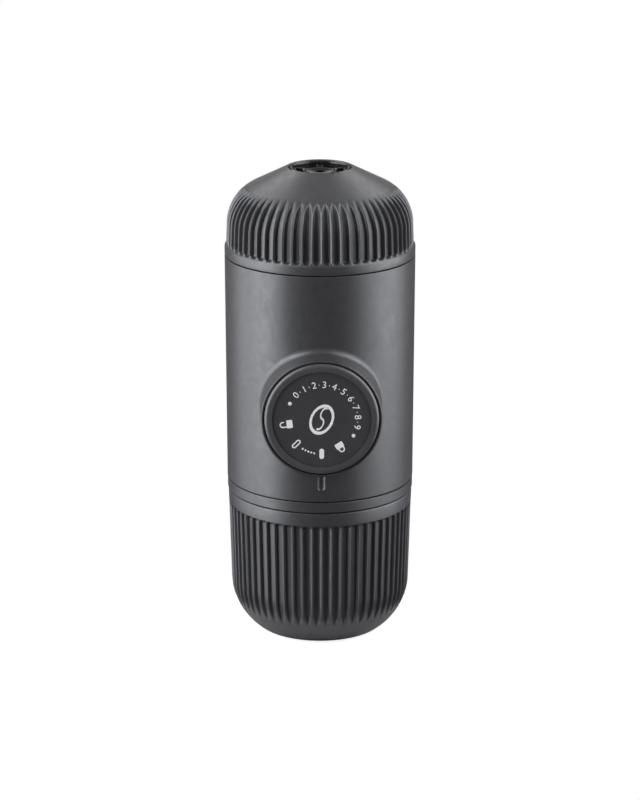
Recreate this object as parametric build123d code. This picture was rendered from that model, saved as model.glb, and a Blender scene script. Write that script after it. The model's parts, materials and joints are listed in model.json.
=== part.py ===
from build123d import *
import os
from math import acos, asin, atan2, cos, degrees, radians, sin, sqrt

# Handheld piston espresso maker that stands on its drinking cup.
# Millimetres. The main axis is Z, the cup's flat base lies at Z = 0, and the pump knob faces -Y.
# From the bottom up: drinking cup over the water tank, tank collar, main body, outlet head.

# ---------------------------------------------------------------- heights of the outside pieces
CUP_HEIGHT = 47.8
COLLAR_HEIGHT = 3.5
BODY_HEIGHT = 75.0
HEAD_HEIGHT = 28.8
SEAM = 0.3                      # open line between two outside pieces

CUP_TOP = CUP_HEIGHT
COLLAR_BOTTOM = CUP_TOP + SEAM
COLLAR_TOP = COLLAR_BOTTOM + COLLAR_HEIGHT
BODY_BOTTOM = COLLAR_TOP + SEAM
BODY_TOP = BODY_BOTTOM + BODY_HEIGHT
HEAD_BOTTOM = BODY_TOP + SEAM
HEAD_TOP = HEAD_BOTTOM + HEAD_HEIGHT

# ---------------------------------------------------------------- clearances
RUN = 0.05                      # radial play of a running fit
SNUG = 0.05                     # radial play of a located or pressed piece
LOOSE = 0.3                     # play between moving pieces that only pass each other
HOLE_PLAY = 0.1                 # radial play of a screw in its hole
THREAD_PLAY = 0.3               # radial play at a thread's crests

# ---------------------------------------------------------------- outside shapes
BODY_TOP_R = 31.0
BODY_TAPER = 0.3                # of the body's radius down to its foot
BODY_WALL = 2.0
COLLAR_SET_IN = 0.1             # of the collar behind the body's foot
CUP_SET_IN = 0.2                # of the cup's rim behind the collar
EDGE_ROUND = 0.25               # on the outer edges beside a seam

CUP_TAPER = 0.85                # of the cup's wall down to its round corner
CUP_CORNER_R = 20.2
CUP_CORNER_SINK = 4.2           # of the corner arc below the level where it would touch the base
CUP_WALL = 2.2
CUP_RIM_ROUND = 0.5

HEAD_BAND_HEIGHT = 2.5
HEAD_BAND_PROUD = 0.6           # of the smooth band before the ribs
HEAD_STEP_HEIGHT = 1.4
HEAD_DRAFT = 0.2
HEAD_SHOULDER_R = 14.0
HEAD_SHOULDER_DROP = 18.74      # of the shoulder arc's centre below the mouth
HEAD_WALL = 2.2
MOUTH_R = 10.1
MOUTH_ROUND = 0.5

GROOVE_COUNT = 60
GROOVE_WIDTH = 2.0
GROOVE_DEPTH = 1.0
CUP_GROOVE_TOP_GAP = 4.5        # smooth rim above the cup's grooves
CUP_GROOVE_BOTTOM = 7.5
HEAD_GROOVE_FADE_START = 38.0   # angle on the shoulder where the groove starts to run out
HEAD_GROOVE_FADE_END = 60.0

BODY_BOTTOM_R = BODY_TOP_R - BODY_TAPER
SHELL_ROOM_R = BODY_BOTTOM_R - BODY_WALL - LOOSE
COLLAR_R = BODY_BOTTOM_R - COLLAR_SET_IN
CUP_RIM_R = COLLAR_R - CUP_SET_IN
CUP_LOW_R = CUP_RIM_R - CUP_TAPER
CUP_CORNER_Z = CUP_CORNER_R - CUP_CORNER_SINK
HEAD_BAND_R = BODY_TOP_R
HEAD_RIB_R = HEAD_BAND_R - HEAD_BAND_PROUD

# ---------------------------------------------------------------- threads
THREAD_PITCH = 3.0
THREAD_TURNS = 1.5
THREAD_DEPTH = 0.9
THREAD_BASE = 1.2
THREAD_CREST = 0.6
THREAD_SINK = 0.3
THREAD_START_ANGLE = 33.0
THREAD_LEAD_IN = 1.6            # from a neck's root to the edge of its ridge
THREAD_FIRST = THREAD_LEAD_IN + THREAD_BASE / 2

# ---------------------------------------------------------------- outlet head inside
CORE_BOTTOM_GAP = 0.45
CORE_PLATE_THICK = 4.2
CORE_WALL = 1.35
SCREEN_SET_IN = 0.5             # of the outlet screen inside the basket's wall
SCREEN_THICK = 0.5
SCREEN_RING_WIDTH = 1.0
SCREEN_LAND = 4.0               # flat ring that carries the screen, outside the funnel
FUNNEL_DEPTH = 1.2
PEDESTAL_R = 7.0
PEDESTAL_HEIGHT = 3.2
OUTLET_TUBE_R = 3.5
OUTLET_TUBE_HEIGHT = 2.8
OUTLET_BORE_R = 1.6
SPOUT_WALL = 1.1
SPOUT_RIM_DROP = 0.5            # of the spout's rim below the head's mouth
SPOUT_HEIGHT = 7.15
SPOUT_FLOOR = 1.3
SPOUT_FLANGE_WIDTH = 2.1        # of the flange that holds the spout behind the mouth
SPOUT_NOZZLE_R = 4.6
SPOUT_NOZZLE_HEIGHT = 5.2
SPOUT_BORE_R = 1.3
SPOUT_WEBS = 6
SPOUT_WEB_THICK = 1.1
SPOUT_WEB_HEIGHT = 4.4
SPOUT_SEAL_THICK = 0.5
SPOUT_SEAL_R = 5.5
SPOUT_PLAY = 0.15
HEAD_SCREW_COUNT = 3
HEAD_SCREW_TURN = 90.0
HEAD_BOSS_R = 2.5
HEAD_BOSS_BITE = 1.5            # of the screw bosses into the cone's wall
HEAD_SCREW_R = 0.95
HEAD_SCREW_HEAD_R = 2.0
HEAD_SCREW_HEAD = 1.5
HEAD_SCREW_GRIP = 3.2
GASKET_THICK = 1.5

PEDESTAL_TOP = HEAD_TOP - SPOUT_RIM_DROP - SPOUT_HEIGHT
CORE_PLATE_TOP = PEDESTAL_TOP - PEDESTAL_HEIGHT
CORE_PLATE_BOTTOM = CORE_PLATE_TOP - CORE_PLATE_THICK
CORE_BOTTOM = HEAD_BOTTOM + CORE_BOTTOM_GAP
SCREEN_TOP = CORE_PLATE_BOTTOM + SCREEN_THICK
HEAD_SCREW_SEAT = SCREEN_TOP + HEAD_SCREW_HEAD + HOLE_PLAY
SPOUT_FLANGE_R = MOUTH_R + SPOUT_FLANGE_WIDTH

# ---------------------------------------------------------------- brewing end
NECK_WALL = 3.4                 # round the basket
NECK_LIP = 1.1                  # round the basket's flange
GASKET_SET_IN = 0.5             # of the gasket behind the neck's edge
BASKET_WALL = 0.7
BASKET_DEPTH = 15.0
BASKET_FLANGE_THICK = 0.8
BASKET_ROUND = 2.0
BASKET_PLAY = 0.5
SHOWER_THICK = 0.8
SHOWER_GAP = 1.4                # between the basket's floor and the shower plate
SHOWER_CHAMBER = 1.5
SHOWER_LEDGE = 2.0
SHOWER_BOSS_R = 3.5
SHOWER_SCREW_R = 1.45
SHOWER_SCREW_HEAD_R = 2.4
SHOWER_SCREW_HEAD = 0.9
SHOWER_SCREW_GRIP = 1.5
BREW_FLOOR = 3.5
SHELL_TOP_THICK = 4.0
BREW_FLANGE_THICK = 4.0
HOLE_PITCH = 3.2
BASKET_HOLE_R = 0.5
SCREEN_HOLE_R = 0.6
SHOWER_HOLE_R = 0.8

NECK_R = HEAD_RIB_R - HEAD_DRAFT - HEAD_WALL - SNUG - CORE_WALL - THREAD_PLAY - THREAD_DEPTH
BREW_BORE_R = NECK_R - NECK_WALL
BASKET_R = BREW_BORE_R - BASKET_PLAY
BASKET_FLANGE_R = NECK_R - NECK_LIP - HOLE_PLAY
GASKET_R = NECK_R - GASKET_SET_IN
SCREEN_R = BASKET_R - SCREEN_SET_IN
FUNNEL_R = SCREEN_R - SCREEN_LAND
HEAD_SCREW_CIRCLE_R = SCREEN_R - SCREEN_LAND / 2
NECK_TOP = CORE_PLATE_BOTTOM - GASKET_THICK
BASKET_SEAT = NECK_TOP - BASKET_FLANGE_THICK
BASKET_BOTTOM = NECK_TOP - BASKET_DEPTH
SHOWER_TOP = BASKET_BOTTOM - SHOWER_GAP
SHOWER_BOTTOM = SHOWER_TOP - SHOWER_THICK
BREW_FLOOR_TOP = SHOWER_BOTTOM - SHOWER_CHAMBER
BREW_FLOOR_BOTTOM = BREW_FLOOR_TOP - BREW_FLOOR
SHELL_FLANGE_BOTTOM = BODY_TOP - SHELL_TOP_THICK
BREW_FLANGE_BOTTOM = SHELL_FLANGE_BOTTOM - BREW_FLANGE_THICK

# ---------------------------------------------------------------- tank and its socket
TANK_PLAY = 0.95                # between the tank and the cup at the cup's round corner
TANK_WALL = 1.8
TANK_CORNER_EASE = 2.0          # of the tank's corner radius below the cup's inner one
TANK_FLOOR_GAP = 1.0            # above the cup's floor
TANK_NECK_HEIGHT = 10.05
COLLAR_WALL = 2.2
TANK_FLANGE_THICK = 1.2
TANK_SEAL_THICK = 1.5
SOCKET_WALL = 3.0
SOCKET_CEILING = 3.5
CUP_RING_WIRE_R = 0.9
CUP_RING_DROP = 4.2             # below the cup's rim
CUP_RING_GAP = 0.25             # between the O-ring and the cup's wall

TANK_R = CUP_LOW_R - CUP_WALL - TANK_PLAY
TANK_CORNER_R = CUP_CORNER_R - CUP_WALL - TANK_CORNER_EASE
TANK_FLANGE_R = COLLAR_R - COLLAR_WALL
TANK_BOTTOM = CUP_WALL + TANK_FLOOR_GAP
TANK_TOP = COLLAR_TOP + TANK_NECK_HEIGHT
SOCKET_BORE_R = SHELL_ROOM_R - SOCKET_WALL
TANK_NECK_R = SOCKET_BORE_R - THREAD_PLAY - THREAD_DEPTH
SOCKET_FACE = TANK_TOP + TANK_SEAL_THICK
SOCKET_TOP = SOCKET_FACE + SOCKET_CEILING
CUP_RING_Z = CUP_TOP - CUP_RING_DROP

# ---------------------------------------------------------------- pump, measured along its own axis
KNOB_R = 18.3
KNOB_PROUD = 0.8                # of the knob's front before the collar round it
KNOB_SINK = 7.7                 # of the knob's back edge behind that collar's front
KNOB_RIM = 2.5
KNOB_SIDE_WALL = 2.1
KNOB_EDGE_ROUND = 1.3
DIAL_SINK = 0.4
DIAL_THICK = 1.2
KNOB_PLATE = 3.0
KNOB_BOSS_LENGTH = 2.4
KNOB_BOSS_WALL = 1.0            # of the knob's boss round the end of the stem
SKIRT_SET_IN = 1.9              # of the skirt behind the knob's side
SKIRT_WALL = 1.2
SKIRT_REACH = 6.0               # of the skirt behind the knob's back edge
LUG_HEIGHT = 0.8
LUG_ANGLE = 40.0
LUG_THICK = 1.5
LUG_GAP = 0.8                   # along the axis, between a lug and the lip that holds it
BOSS_WALL = 0.7                 # collar on the body round the knob
BOSS_PROUD = 8.2                # of that collar before the body
BOSS_BASE_ROUND = 2.2
BOSS_EDGE_ROUND = 0.4

BARREL_SET_IN = 0.9             # of the barrel inside the lugs
BARREL_WALL = 2.5
PISTON_LENGTH = 8.0
PISTON_SECTION = 2.5            # of the piston ring round the stem
PISTON_GAP = 3.0                # between the piston and the end of its chamber
PISTON_PLAY = 0.1
PORT_SET_BACK = 1.5             # of the ports before the end of the chamber
PORT_R = 1.2
PORT_LENGTH = 2.5
VALVE_SEAT_SINK = 0.5
SEAL_WIRE_R = 0.75
STEM_WALL = 2.3
STEM_FRONT_PLATE = 3.0
STEM_SHOULDER_WIDTH = 1.5
STEM_SHOULDER_THICK = 1.2
CLIP_WIDTH = 1.1
CLIP_THICK = 0.6
CLIP_SINK = 0.6
CLIP_GAP = 3.0
GUIDE_LENGTH = 9.0              # inside the bore; with the piston's place it sets a stroke of 20
GUIDE_FLANGE_THICK = 2.0
LOCK_RING_THICK = 3.0
LOCK_LIP_THICK = 1.2
LOCK_LIP_RELIEF = 0.2           # of the lips inside the lugs
LOCK_LIP_ANGLE = 60.0
LOCK_LIP_RISE = 1.0
GUIDE_SCREW_COUNT = 3
GUIDE_SCREW_TURN = 90.0         # angle of the first one of each ring of screws
GUIDE_SCREW_GRIP = 5.0
SPRING_WIRE_R = 0.5
SPRING_PLAY = 0.7
SPRING_COILS = 14
PLUG_LENGTH = 6.0
PLUG_FLANGE_THICK = 1.5
PLUG_WALL = 4.0
PLUG_END_WALL = 3.0
UNLOCK_ANGLE = 45.0
KNOB_SCREW_R = 1.95
KNOB_SCREW_HEAD_R = 3.6
KNOB_SCREW_HEAD = 1.4

BOSS_FRONT = BODY_TOP_R + BOSS_PROUD
BOSS_BORE_R = KNOB_R + LOOSE
BOSS_R = BOSS_BORE_R + BOSS_WALL
KNOB_FRONT = BOSS_FRONT + KNOB_PROUD
KNOB_BACK = BOSS_FRONT - KNOB_SINK
DIAL_R = KNOB_R - KNOB_RIM - SNUG
DIAL_FRONT = KNOB_FRONT - DIAL_SINK
DIAL_BACK = DIAL_FRONT - DIAL_THICK
KNOB_PLATE_BACK = DIAL_BACK - KNOB_PLATE
SKIRT_R = KNOB_R - SKIRT_SET_IN
SKIRT_BACK = KNOB_BACK - SKIRT_REACH
LUG_R = SKIRT_R - SKIRT_WALL - LUG_HEIGHT
LOCK_LIP_R = LUG_R - LOCK_LIP_RELIEF
BARREL_R = LUG_R - BARREL_SET_IN
BORE_R = BARREL_R - BARREL_WALL
STEM_R = BORE_R - PISTON_SECTION
STEM_BORE_R = STEM_R - STEM_WALL
SPRING_R = STEM_BORE_R - SPRING_PLAY - SPRING_WIRE_R
STEM_FRONT = KNOB_PLATE_BACK - KNOB_BOSS_LENGTH
STEM_INNER_END = STEM_FRONT - STEM_FRONT_PLATE
LOCK_FRONT = SKIRT_BACK + LUG_THICK + LUG_GAP + LOCK_LIP_THICK
GUIDE_FRONT = LOCK_FRONT - LOCK_RING_THICK
BARREL_FRONT = GUIDE_FRONT - GUIDE_FLANGE_THICK
GUIDE_REAR = BARREL_FRONT - GUIDE_LENGTH
BARREL_REAR = sqrt(SHELL_ROOM_R ** 2 - BARREL_R ** 2) - PLUG_FLANGE_THICK
CHAMBER_END = BARREL_REAR - PLUG_LENGTH
PISTON_FACE = CHAMBER_END - PISTON_GAP
PORT_Y = CHAMBER_END - PORT_SET_BACK
SHOULDER_REAR = PISTON_FACE - PISTON_LENGTH - RUN

# ---------------------------------------------------------------- core stack
BARREL_SEAT = 2.5               # of the barrel's underside above the socket
LOWER_PLATE_THICK = 3.0
UPPER_PLATE_THICK = 3.0
PLATE_SET_IN = 0.4              # of the pump block's plates behind the socket's side
CORE_SCREW_WEB = 0.65           # between the barrel and a long screw
CORE_SCREW_Y = 9.0
CORE_SCREW_R = 1.45
CORE_SCREW_HEAD_R = 2.6
CORE_SCREW_HEAD = 2.0
CORE_SCREW_GRIP = 8.0
CORE_SCREW_TIP_ROOM = 1.0
CORE_BOSS_R = 3.5
KEY_SHARE = 0.5                 # a socket's radius against its screw head's
KEY_DEPTH = 0.6                 # and its depth
VALVE_POCKET_R = 3.0
VALVE_R = 2.4
VALVE_DISC = 1.0
VALVE_STEM_R = 0.6
VALVE_LIFT = 0.8
VALVE_STOP_GAP = 0.2
VALVE_SPRING_R = 1.35
VALVE_SPRING_WIRE_R = 0.15
VALVE_SPRING_COILS = 4
VALVE_POCKET_HEIGHT = 3.5
RISER_R = 4.0
RISER_FLANGE_THICK = 2.0
RISER_BORE_R = 1.5
RISER_SEAL_THICK = 1.2
STRAINER_R = 4.5
STRAINER_WALL = 0.6
STRAINER_HEIGHT = 6.5
STRAINER_HOLES = 8
SPIGOT_HEIGHT = 3.0
VENT_SET_IN = 5.0               # of the vent's cap inside the tank's neck
VENT_CAP_R = 3.4
VENT_CAP_THICK = 1.2
VENT_STEM_R = 1.45
SHELL_SCREW_COUNT = 3
SHELL_SCREW_TURN = 30.0
SHELL_SCREW_GRIP = 3.0
SMALL_SCREW_R = 0.8
SMALL_SCREW_HEAD_R = 1.4
SMALL_SCREW_HEAD = 1.3

KNOB_Z = SOCKET_TOP + BARREL_SEAT + BARREL_R      # height of the pump axis
PLATE_R = SHELL_ROOM_R - PLATE_SET_IN
CORE_SCREW_X = BARREL_R + CORE_SCREW_WEB + CORE_SCREW_R
TOWER_R = VALVE_POCKET_R + BARREL_WALL
VENT_Y = TANK_NECK_R - TANK_WALL - VENT_CAP_R - VENT_SET_IN
LOWER_PLATE_TOP = SOCKET_TOP + LOWER_PLATE_THICK
UPPER_PLATE_BOTTOM = KNOB_Z + BORE_R + PORT_LENGTH - VALVE_SEAT_SINK
UPPER_PLATE_TOP = UPPER_PLATE_BOTTOM + UPPER_PLATE_THICK
INLET_POCKET_TOP = SOCKET_TOP + VALVE_POCKET_HEIGHT
OUTLET_SEAT = UPPER_PLATE_BOTTOM + VALVE_SEAT_SINK
OUTLET_SPRING_TOP = OUTLET_SEAT + VALVE_POCKET_HEIGHT + VALVE_SEAT_SINK
RISER_TOP = BREW_FLOOR_BOTTOM - RISER_SEAL_THICK

# ---------------------------------------------------------------- marks
INDEX_RISE = 3.75               # of the index mark above the body's foot
INDEX_LENGTH = 5.8
INDEX_WIDTH = 2.4
INDEX_DEPTH = 0.5
MARK_RAISE = 0.06
MARK_SET_IN = 4.35              # of the marks' circle inside the dial's edge
PILL_LENGTH = 3.4
PILL_WIDTH = 1.5
PILL_LINE = 0.4
DOT_R = 0.3
DOT_COUNT = 5
DOT_FIRST_ANGLE = 12.0
DOT_STEP_ANGLE = 5.0
BULLET_R = 0.6
BULLET_ANGLES = (-62.0, 118.0)

PUMP = Location((0, 0, KNOB_Z), (-90, 0, 0))   # local Z runs to the rear, local Y points down


# ================================================================ helpers
def rod(radius, low, high):
    """A round bar on the Z axis between two heights."""
    return Pos(0, 0, low) * Cylinder(radius, high - low, align=(Align.CENTER, Align.CENTER, Align.MIN))


def tube(outer, inner, low, high):
    """A plain ring on the Z axis between two heights."""
    return rod(outer, low, high) - rod(inner, low, high)


def turned(*outline):
    """A solid of revolution about Z from points (radius, height)."""
    return revolve(Plane.XZ * make_face(Polyline(*outline, close=True)), Axis.Z)


def turned_curve(*edges):
    """A solid of revolution about Z from edges drawn as (radius, height)."""
    return revolve(Plane.XZ * make_face(Curve() + list(edges)), Axis.Z)


def arc_about(centre, radius, start, end):
    """An arc from one angle to another, in degrees above the outward horizontal."""
    def point(angle):
        return (centre[0] + radius * cos(radians(angle)), centre[1] + radius * sin(radians(angle)))
    return ThreePointArc(point(start), point((start + end) / 2), point(end))


def rim_edges(body, *radii):
    """The round edges about Z that have one of the radii."""
    circles = body.edges().filter_by(GeomType.CIRCLE)
    return [edge for edge in circles if any(abs(edge.radius - radius) < SNUG / 10 for radius in radii)]


def seal_ring(ring_r, wire_r, height):
    """An O-ring of round section."""
    return Pos(0, 0, height) * Torus(ring_r, wire_r)


def around(count, radius, start=0.0):
    """Evenly spaced places on a circle."""
    return [Pos(radius * cos(radians(start + step * 360 / count)),
                radius * sin(radians(start + step * 360 / count))) for step in range(count)]


def perforation(rings, hole_r, low, high):
    """Cutters for a round field of holes, ring by ring from the centre."""
    holes = [rod(hole_r, low, high)]
    for ring in range(1, rings + 1):
        holes += [place * rod(hole_r, low, high) for place in around(6 * ring, ring * HOLE_PITCH)]
    return holes


def hole_rings(field_r, hole_r):
    """How many rings of holes fit inside a field."""
    return int((field_r - hole_r) / HOLE_PITCH)


def screw(shank_r, length, head_r, head):
    """A cheese-head screw: head from Z = 0 down, shank up, with a hexagon socket in the head."""
    body = rod(head_r, -head, 0) + rod(shank_r, 0, length)
    socket = Pos(0, 0, -head) * extrude(RegularPolygon(head_r * KEY_SHARE, 6), head * KEY_DEPTH)
    return body - socket


def coil(radius, wire_r, coils, low, high):
    """A compression spring whose end turns lie inside the two heights."""
    rise = high - low - 2 * wire_r
    path = Helix(rise / coils, rise, radius)
    wire = sweep(Plane(origin=path @ 0, z_dir=path % 0) * Circle(wire_r), path=path, is_frenet=True)
    return Pos(0, 0, low + wire_r) * wire


def thread(root_r, side, middle):
    """A trapezoid ridge on a helix: side +1 stands outwards from the root, -1 inwards.

    middle is the height of the ridge's centre line at its start.
    """
    path = Helix(THREAD_PITCH, THREAD_PITCH * THREAD_TURNS, root_r)
    half_base = THREAD_BASE / 2
    half_crest = THREAD_CREST / 2
    section = Polyline((-THREAD_SINK, -half_base), (0, -half_base), (THREAD_DEPTH, -half_crest),
                       (THREAD_DEPTH, half_crest), (0, half_base), (-THREAD_SINK, half_base), close=True)
    face = Plane(origin=path @ 0, x_dir=(side, 0, 0), z_dir=(0, -side, 0)) * make_face(section)
    return Pos(0, 0, middle) * Rot(0, 0, THREAD_START_ANGLE) * sweep(face, path=path, is_frenet=True)


def cup_draft():
    """Lean of the cup's wall from the vertical, in degrees."""
    return degrees(atan2(CUP_RIM_R - CUP_LOW_R, CUP_TOP - CUP_CORNER_Z))


def cup_corner_centre():
    """Centre of the cup's corner arc, so that the arc runs into the drafted wall without a kink."""
    lean = radians(cup_draft())
    return (CUP_LOW_R - CUP_CORNER_R * cos(lean), CUP_CORNER_Z + CUP_CORNER_R * sin(lean))


def cup_wall_point(inset, height):
    """A point of the drafted wall, moved inwards by inset."""
    lean = radians(cup_draft())
    return (CUP_LOW_R + (height - CUP_CORNER_Z) * sin(lean) / cos(lean) - inset / cos(lean), height)


def cup_solid(inset, floor, top):
    """The cup's outside form moved inwards by inset, from a floor height to a top height."""
    centre = cup_corner_centre()
    radius = CUP_CORNER_R - inset
    corner_end = -degrees(atan2(centre[1] - floor, sqrt(radius ** 2 - (centre[1] - floor) ** 2)))
    corner = arc_about(centre, radius, corner_end, -cup_draft())
    rim = cup_wall_point(inset, top)
    return turned_curve(Line((0, floor), corner @ 0), corner, Line(corner @ 1, rim),
                        Line(rim, (0, top)), Line((0, top), (0, floor)))


def shoulder_centre():
    """Centre of the head's shoulder arc, which runs out of the drafted ribs."""
    return (HEAD_RIB_R - HEAD_DRAFT - HEAD_SHOULDER_R, HEAD_TOP - HEAD_SHOULDER_DROP)


def cone_angle():
    """Slope of the cone that leaves the shoulder arc without a kink and ends at the mouth."""
    run_in = shoulder_centre()[0] - MOUTH_R
    reach = sqrt(run_in ** 2 + HEAD_SHOULDER_DROP ** 2)
    return degrees(acos(HEAD_SHOULDER_R / reach) - atan2(run_in, HEAD_SHOULDER_DROP))


def cone_height(radius, inset=0.0):
    """Height of the head's cone at a radius, moved inwards by inset."""
    slope = radians(cone_angle())
    return HEAD_TOP - (radius - MOUTH_R) * sin(slope) / cos(slope) - inset / cos(slope)


def grooved(form, cutter):
    """Cuts one groove all the way round, from half a step on, so that a rib lies under the knob."""
    pitch = 360 / GROOVE_COUNT
    return form - [Rot(0, 0, (step + 1 / 2) * pitch) * cutter for step in range(GROOVE_COUNT)]


def groove_cutter(*outline):
    """A flat-sided cutter in the X-Z plane, as wide as a groove."""
    face = Plane.XZ * make_face(Polyline(*outline, close=True))
    return extrude(face, GROOVE_WIDTH / 2, both=True)


# ================================================================ drinking cup and tank
def drinking_cup():
    outside = cup_solid(0, 0, CUP_TOP)
    outside = fillet(outside.edges().sort_by(Axis.Z)[-1], CUP_RIM_ROUND)
    inside = cup_solid(CUP_WALL, CUP_WALL, CUP_TOP)
    groove_top = CUP_TOP - CUP_GROOVE_TOP_GAP
    high = cup_wall_point(GROOVE_DEPTH, groove_top - GROOVE_DEPTH)
    low = cup_wall_point(GROOVE_DEPTH, CUP_CORNER_Z)
    centre = cup_corner_centre()
    drop = centre[1] - CUP_GROOVE_BOTTOM
    tip = (centre[0] + sqrt(CUP_CORNER_R ** 2 - drop ** 2), CUP_GROOVE_BOTTOM)
    outer = CUP_RIM_R + GROOVE_DEPTH
    cutter = groove_cutter(tip, low, high, cup_wall_point(0, groove_top), (outer, groove_top),
                           (outer, CUP_GROOVE_BOTTOM))
    return grooved(outside, cutter) - inside


def tank_body(inset, top):
    """The tank's round-cornered body moved inwards by inset."""
    radius = TANK_R - inset
    corner = arc_about((TANK_R - TANK_CORNER_R, TANK_BOTTOM + TANK_CORNER_R), TANK_CORNER_R - inset, -90, 0)
    floor = TANK_BOTTOM + inset
    return turned_curve(Line((0, floor), corner @ 0), corner, Line(corner @ 1, (radius, top)),
                        Line((radius, top), (0, top)), Line((0, top), (0, floor)))


def water_tank():
    outside = tank_body(0, COLLAR_TOP)
    outside += rod(TANK_FLANGE_R, COLLAR_TOP - TANK_FLANGE_THICK, COLLAR_TOP)
    outside += rod(TANK_NECK_R, COLLAR_TOP, TANK_TOP)
    outside += thread(TANK_NECK_R, 1, COLLAR_TOP + THREAD_FIRST)
    neck_bore = rod(TANK_NECK_R - TANK_WALL, COLLAR_BOTTOM, TANK_TOP)
    groove_floor = cup_ring_radius() - CUP_RING_WIRE_R - SNUG
    ring_groove = tube(TANK_R + LOOSE, groove_floor, -CUP_RING_WIRE_R, CUP_RING_WIRE_R)
    return outside - tank_body(TANK_WALL, COLLAR_BOTTOM) - neck_bore - Pos(0, 0, CUP_RING_Z) * ring_groove


def tank_collar():
    lip = COLLAR_TOP - TANK_FLANGE_THICK
    body = turned((TANK_R + SNUG, COLLAR_BOTTOM), (COLLAR_R, COLLAR_BOTTOM), (COLLAR_R, COLLAR_TOP),
                  (TANK_FLANGE_R + SNUG, COLLAR_TOP), (TANK_FLANGE_R + SNUG, lip), (TANK_R + SNUG, lip))
    return fillet(rim_edges(body, COLLAR_R), EDGE_ROUND)


def cup_ring_radius():
    """Middle of the O-ring's wire, set from the cup's wall that it grips."""
    return cup_wall_point(CUP_WALL, CUP_RING_Z)[0] - CUP_RING_GAP - CUP_RING_WIRE_R


def cup_ring():
    return seal_ring(cup_ring_radius(), CUP_RING_WIRE_R, CUP_RING_Z)


def tank_seal():
    return tube(TANK_NECK_R - SNUG, TANK_NECK_R - TANK_WALL + SNUG, TANK_TOP, SOCKET_FACE)


# ================================================================ tank socket and what it carries
def core_screw_places():
    return [Pos(x, y) for x in (-CORE_SCREW_X, CORE_SCREW_X) for y in (-CORE_SCREW_Y, CORE_SCREW_Y)]


def tank_socket():
    body = rod(SHELL_ROOM_R, BODY_BOTTOM, SOCKET_TOP) - rod(SOCKET_BORE_R, BODY_BOTTOM, SOCKET_FACE)
    body += thread(SOCKET_BORE_R, -1, COLLAR_TOP + THREAD_FIRST + THREAD_PITCH / 2)
    spigot = rod(STRAINER_R - STRAINER_WALL - SNUG, SOCKET_FACE - SPIGOT_HEIGHT, SOCKET_FACE)
    body += Pos(0, PORT_Y) * spigot
    body -= Pos(0, PORT_Y) * rod(RISER_BORE_R, SOCKET_FACE - SPIGOT_HEIGHT, SOCKET_TOP)
    body -= Pos(0, -VENT_Y) * rod(VENT_STEM_R + SNUG, SOCKET_FACE, SOCKET_TOP)
    for place in core_screw_places():
        body -= place * rod(CORE_SCREW_R + HOLE_PLAY, SOCKET_FACE, SOCKET_TOP)
        body -= place * rod(CORE_SCREW_HEAD_R + HOLE_PLAY, SOCKET_FACE, SOCKET_FACE + CORE_SCREW_HEAD)
    return body - PUMP * rod(SKIRT_R + LOOSE, -KNOB_FRONT, -SKIRT_BACK + LOOSE)


def inlet_strainer():
    bottom = SOCKET_FACE - STRAINER_HEIGHT
    shell = rod(STRAINER_R, bottom, SOCKET_FACE)
    shell -= rod(STRAINER_R - STRAINER_WALL, bottom + STRAINER_WALL, SOCKET_FACE)
    field = (STRAINER_R - STRAINER_WALL) / 2
    hole = rod(BASKET_HOLE_R, bottom, bottom + STRAINER_WALL)
    shell -= [hole] + [place * hole for place in around(STRAINER_HOLES, field)]
    return Pos(0, PORT_Y) * shell


def vent_valve():
    cap = rod(VENT_CAP_R, SOCKET_FACE - VENT_CAP_THICK, SOCKET_FACE)
    return Pos(0, -VENT_Y) * (cap + rod(VENT_STEM_R, SOCKET_FACE, SOCKET_TOP))


def core_screws():
    head_top = SOCKET_FACE + CORE_SCREW_HEAD
    length = UPPER_PLATE_TOP + CORE_SCREW_GRIP - head_top
    one = Pos(0, 0, head_top) * screw(CORE_SCREW_R, length, CORE_SCREW_HEAD_R, CORE_SCREW_HEAD)
    return [place * one for place in core_screw_places()]


def inlet_valve():
    disc = rod(VALVE_R, SOCKET_TOP, SOCKET_TOP + VALVE_DISC)
    stem = rod(VALVE_STEM_R, SOCKET_TOP, INLET_POCKET_TOP - VALVE_LIFT - VALVE_STOP_GAP)
    return Pos(0, PORT_Y) * (disc + stem)


def inlet_valve_spring():
    spring = coil(VALVE_SPRING_R, VALVE_SPRING_WIRE_R, VALVE_SPRING_COILS, SOCKET_TOP + VALVE_DISC,
                  INLET_POCKET_TOP)
    return Pos(0, PORT_Y) * spring


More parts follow.
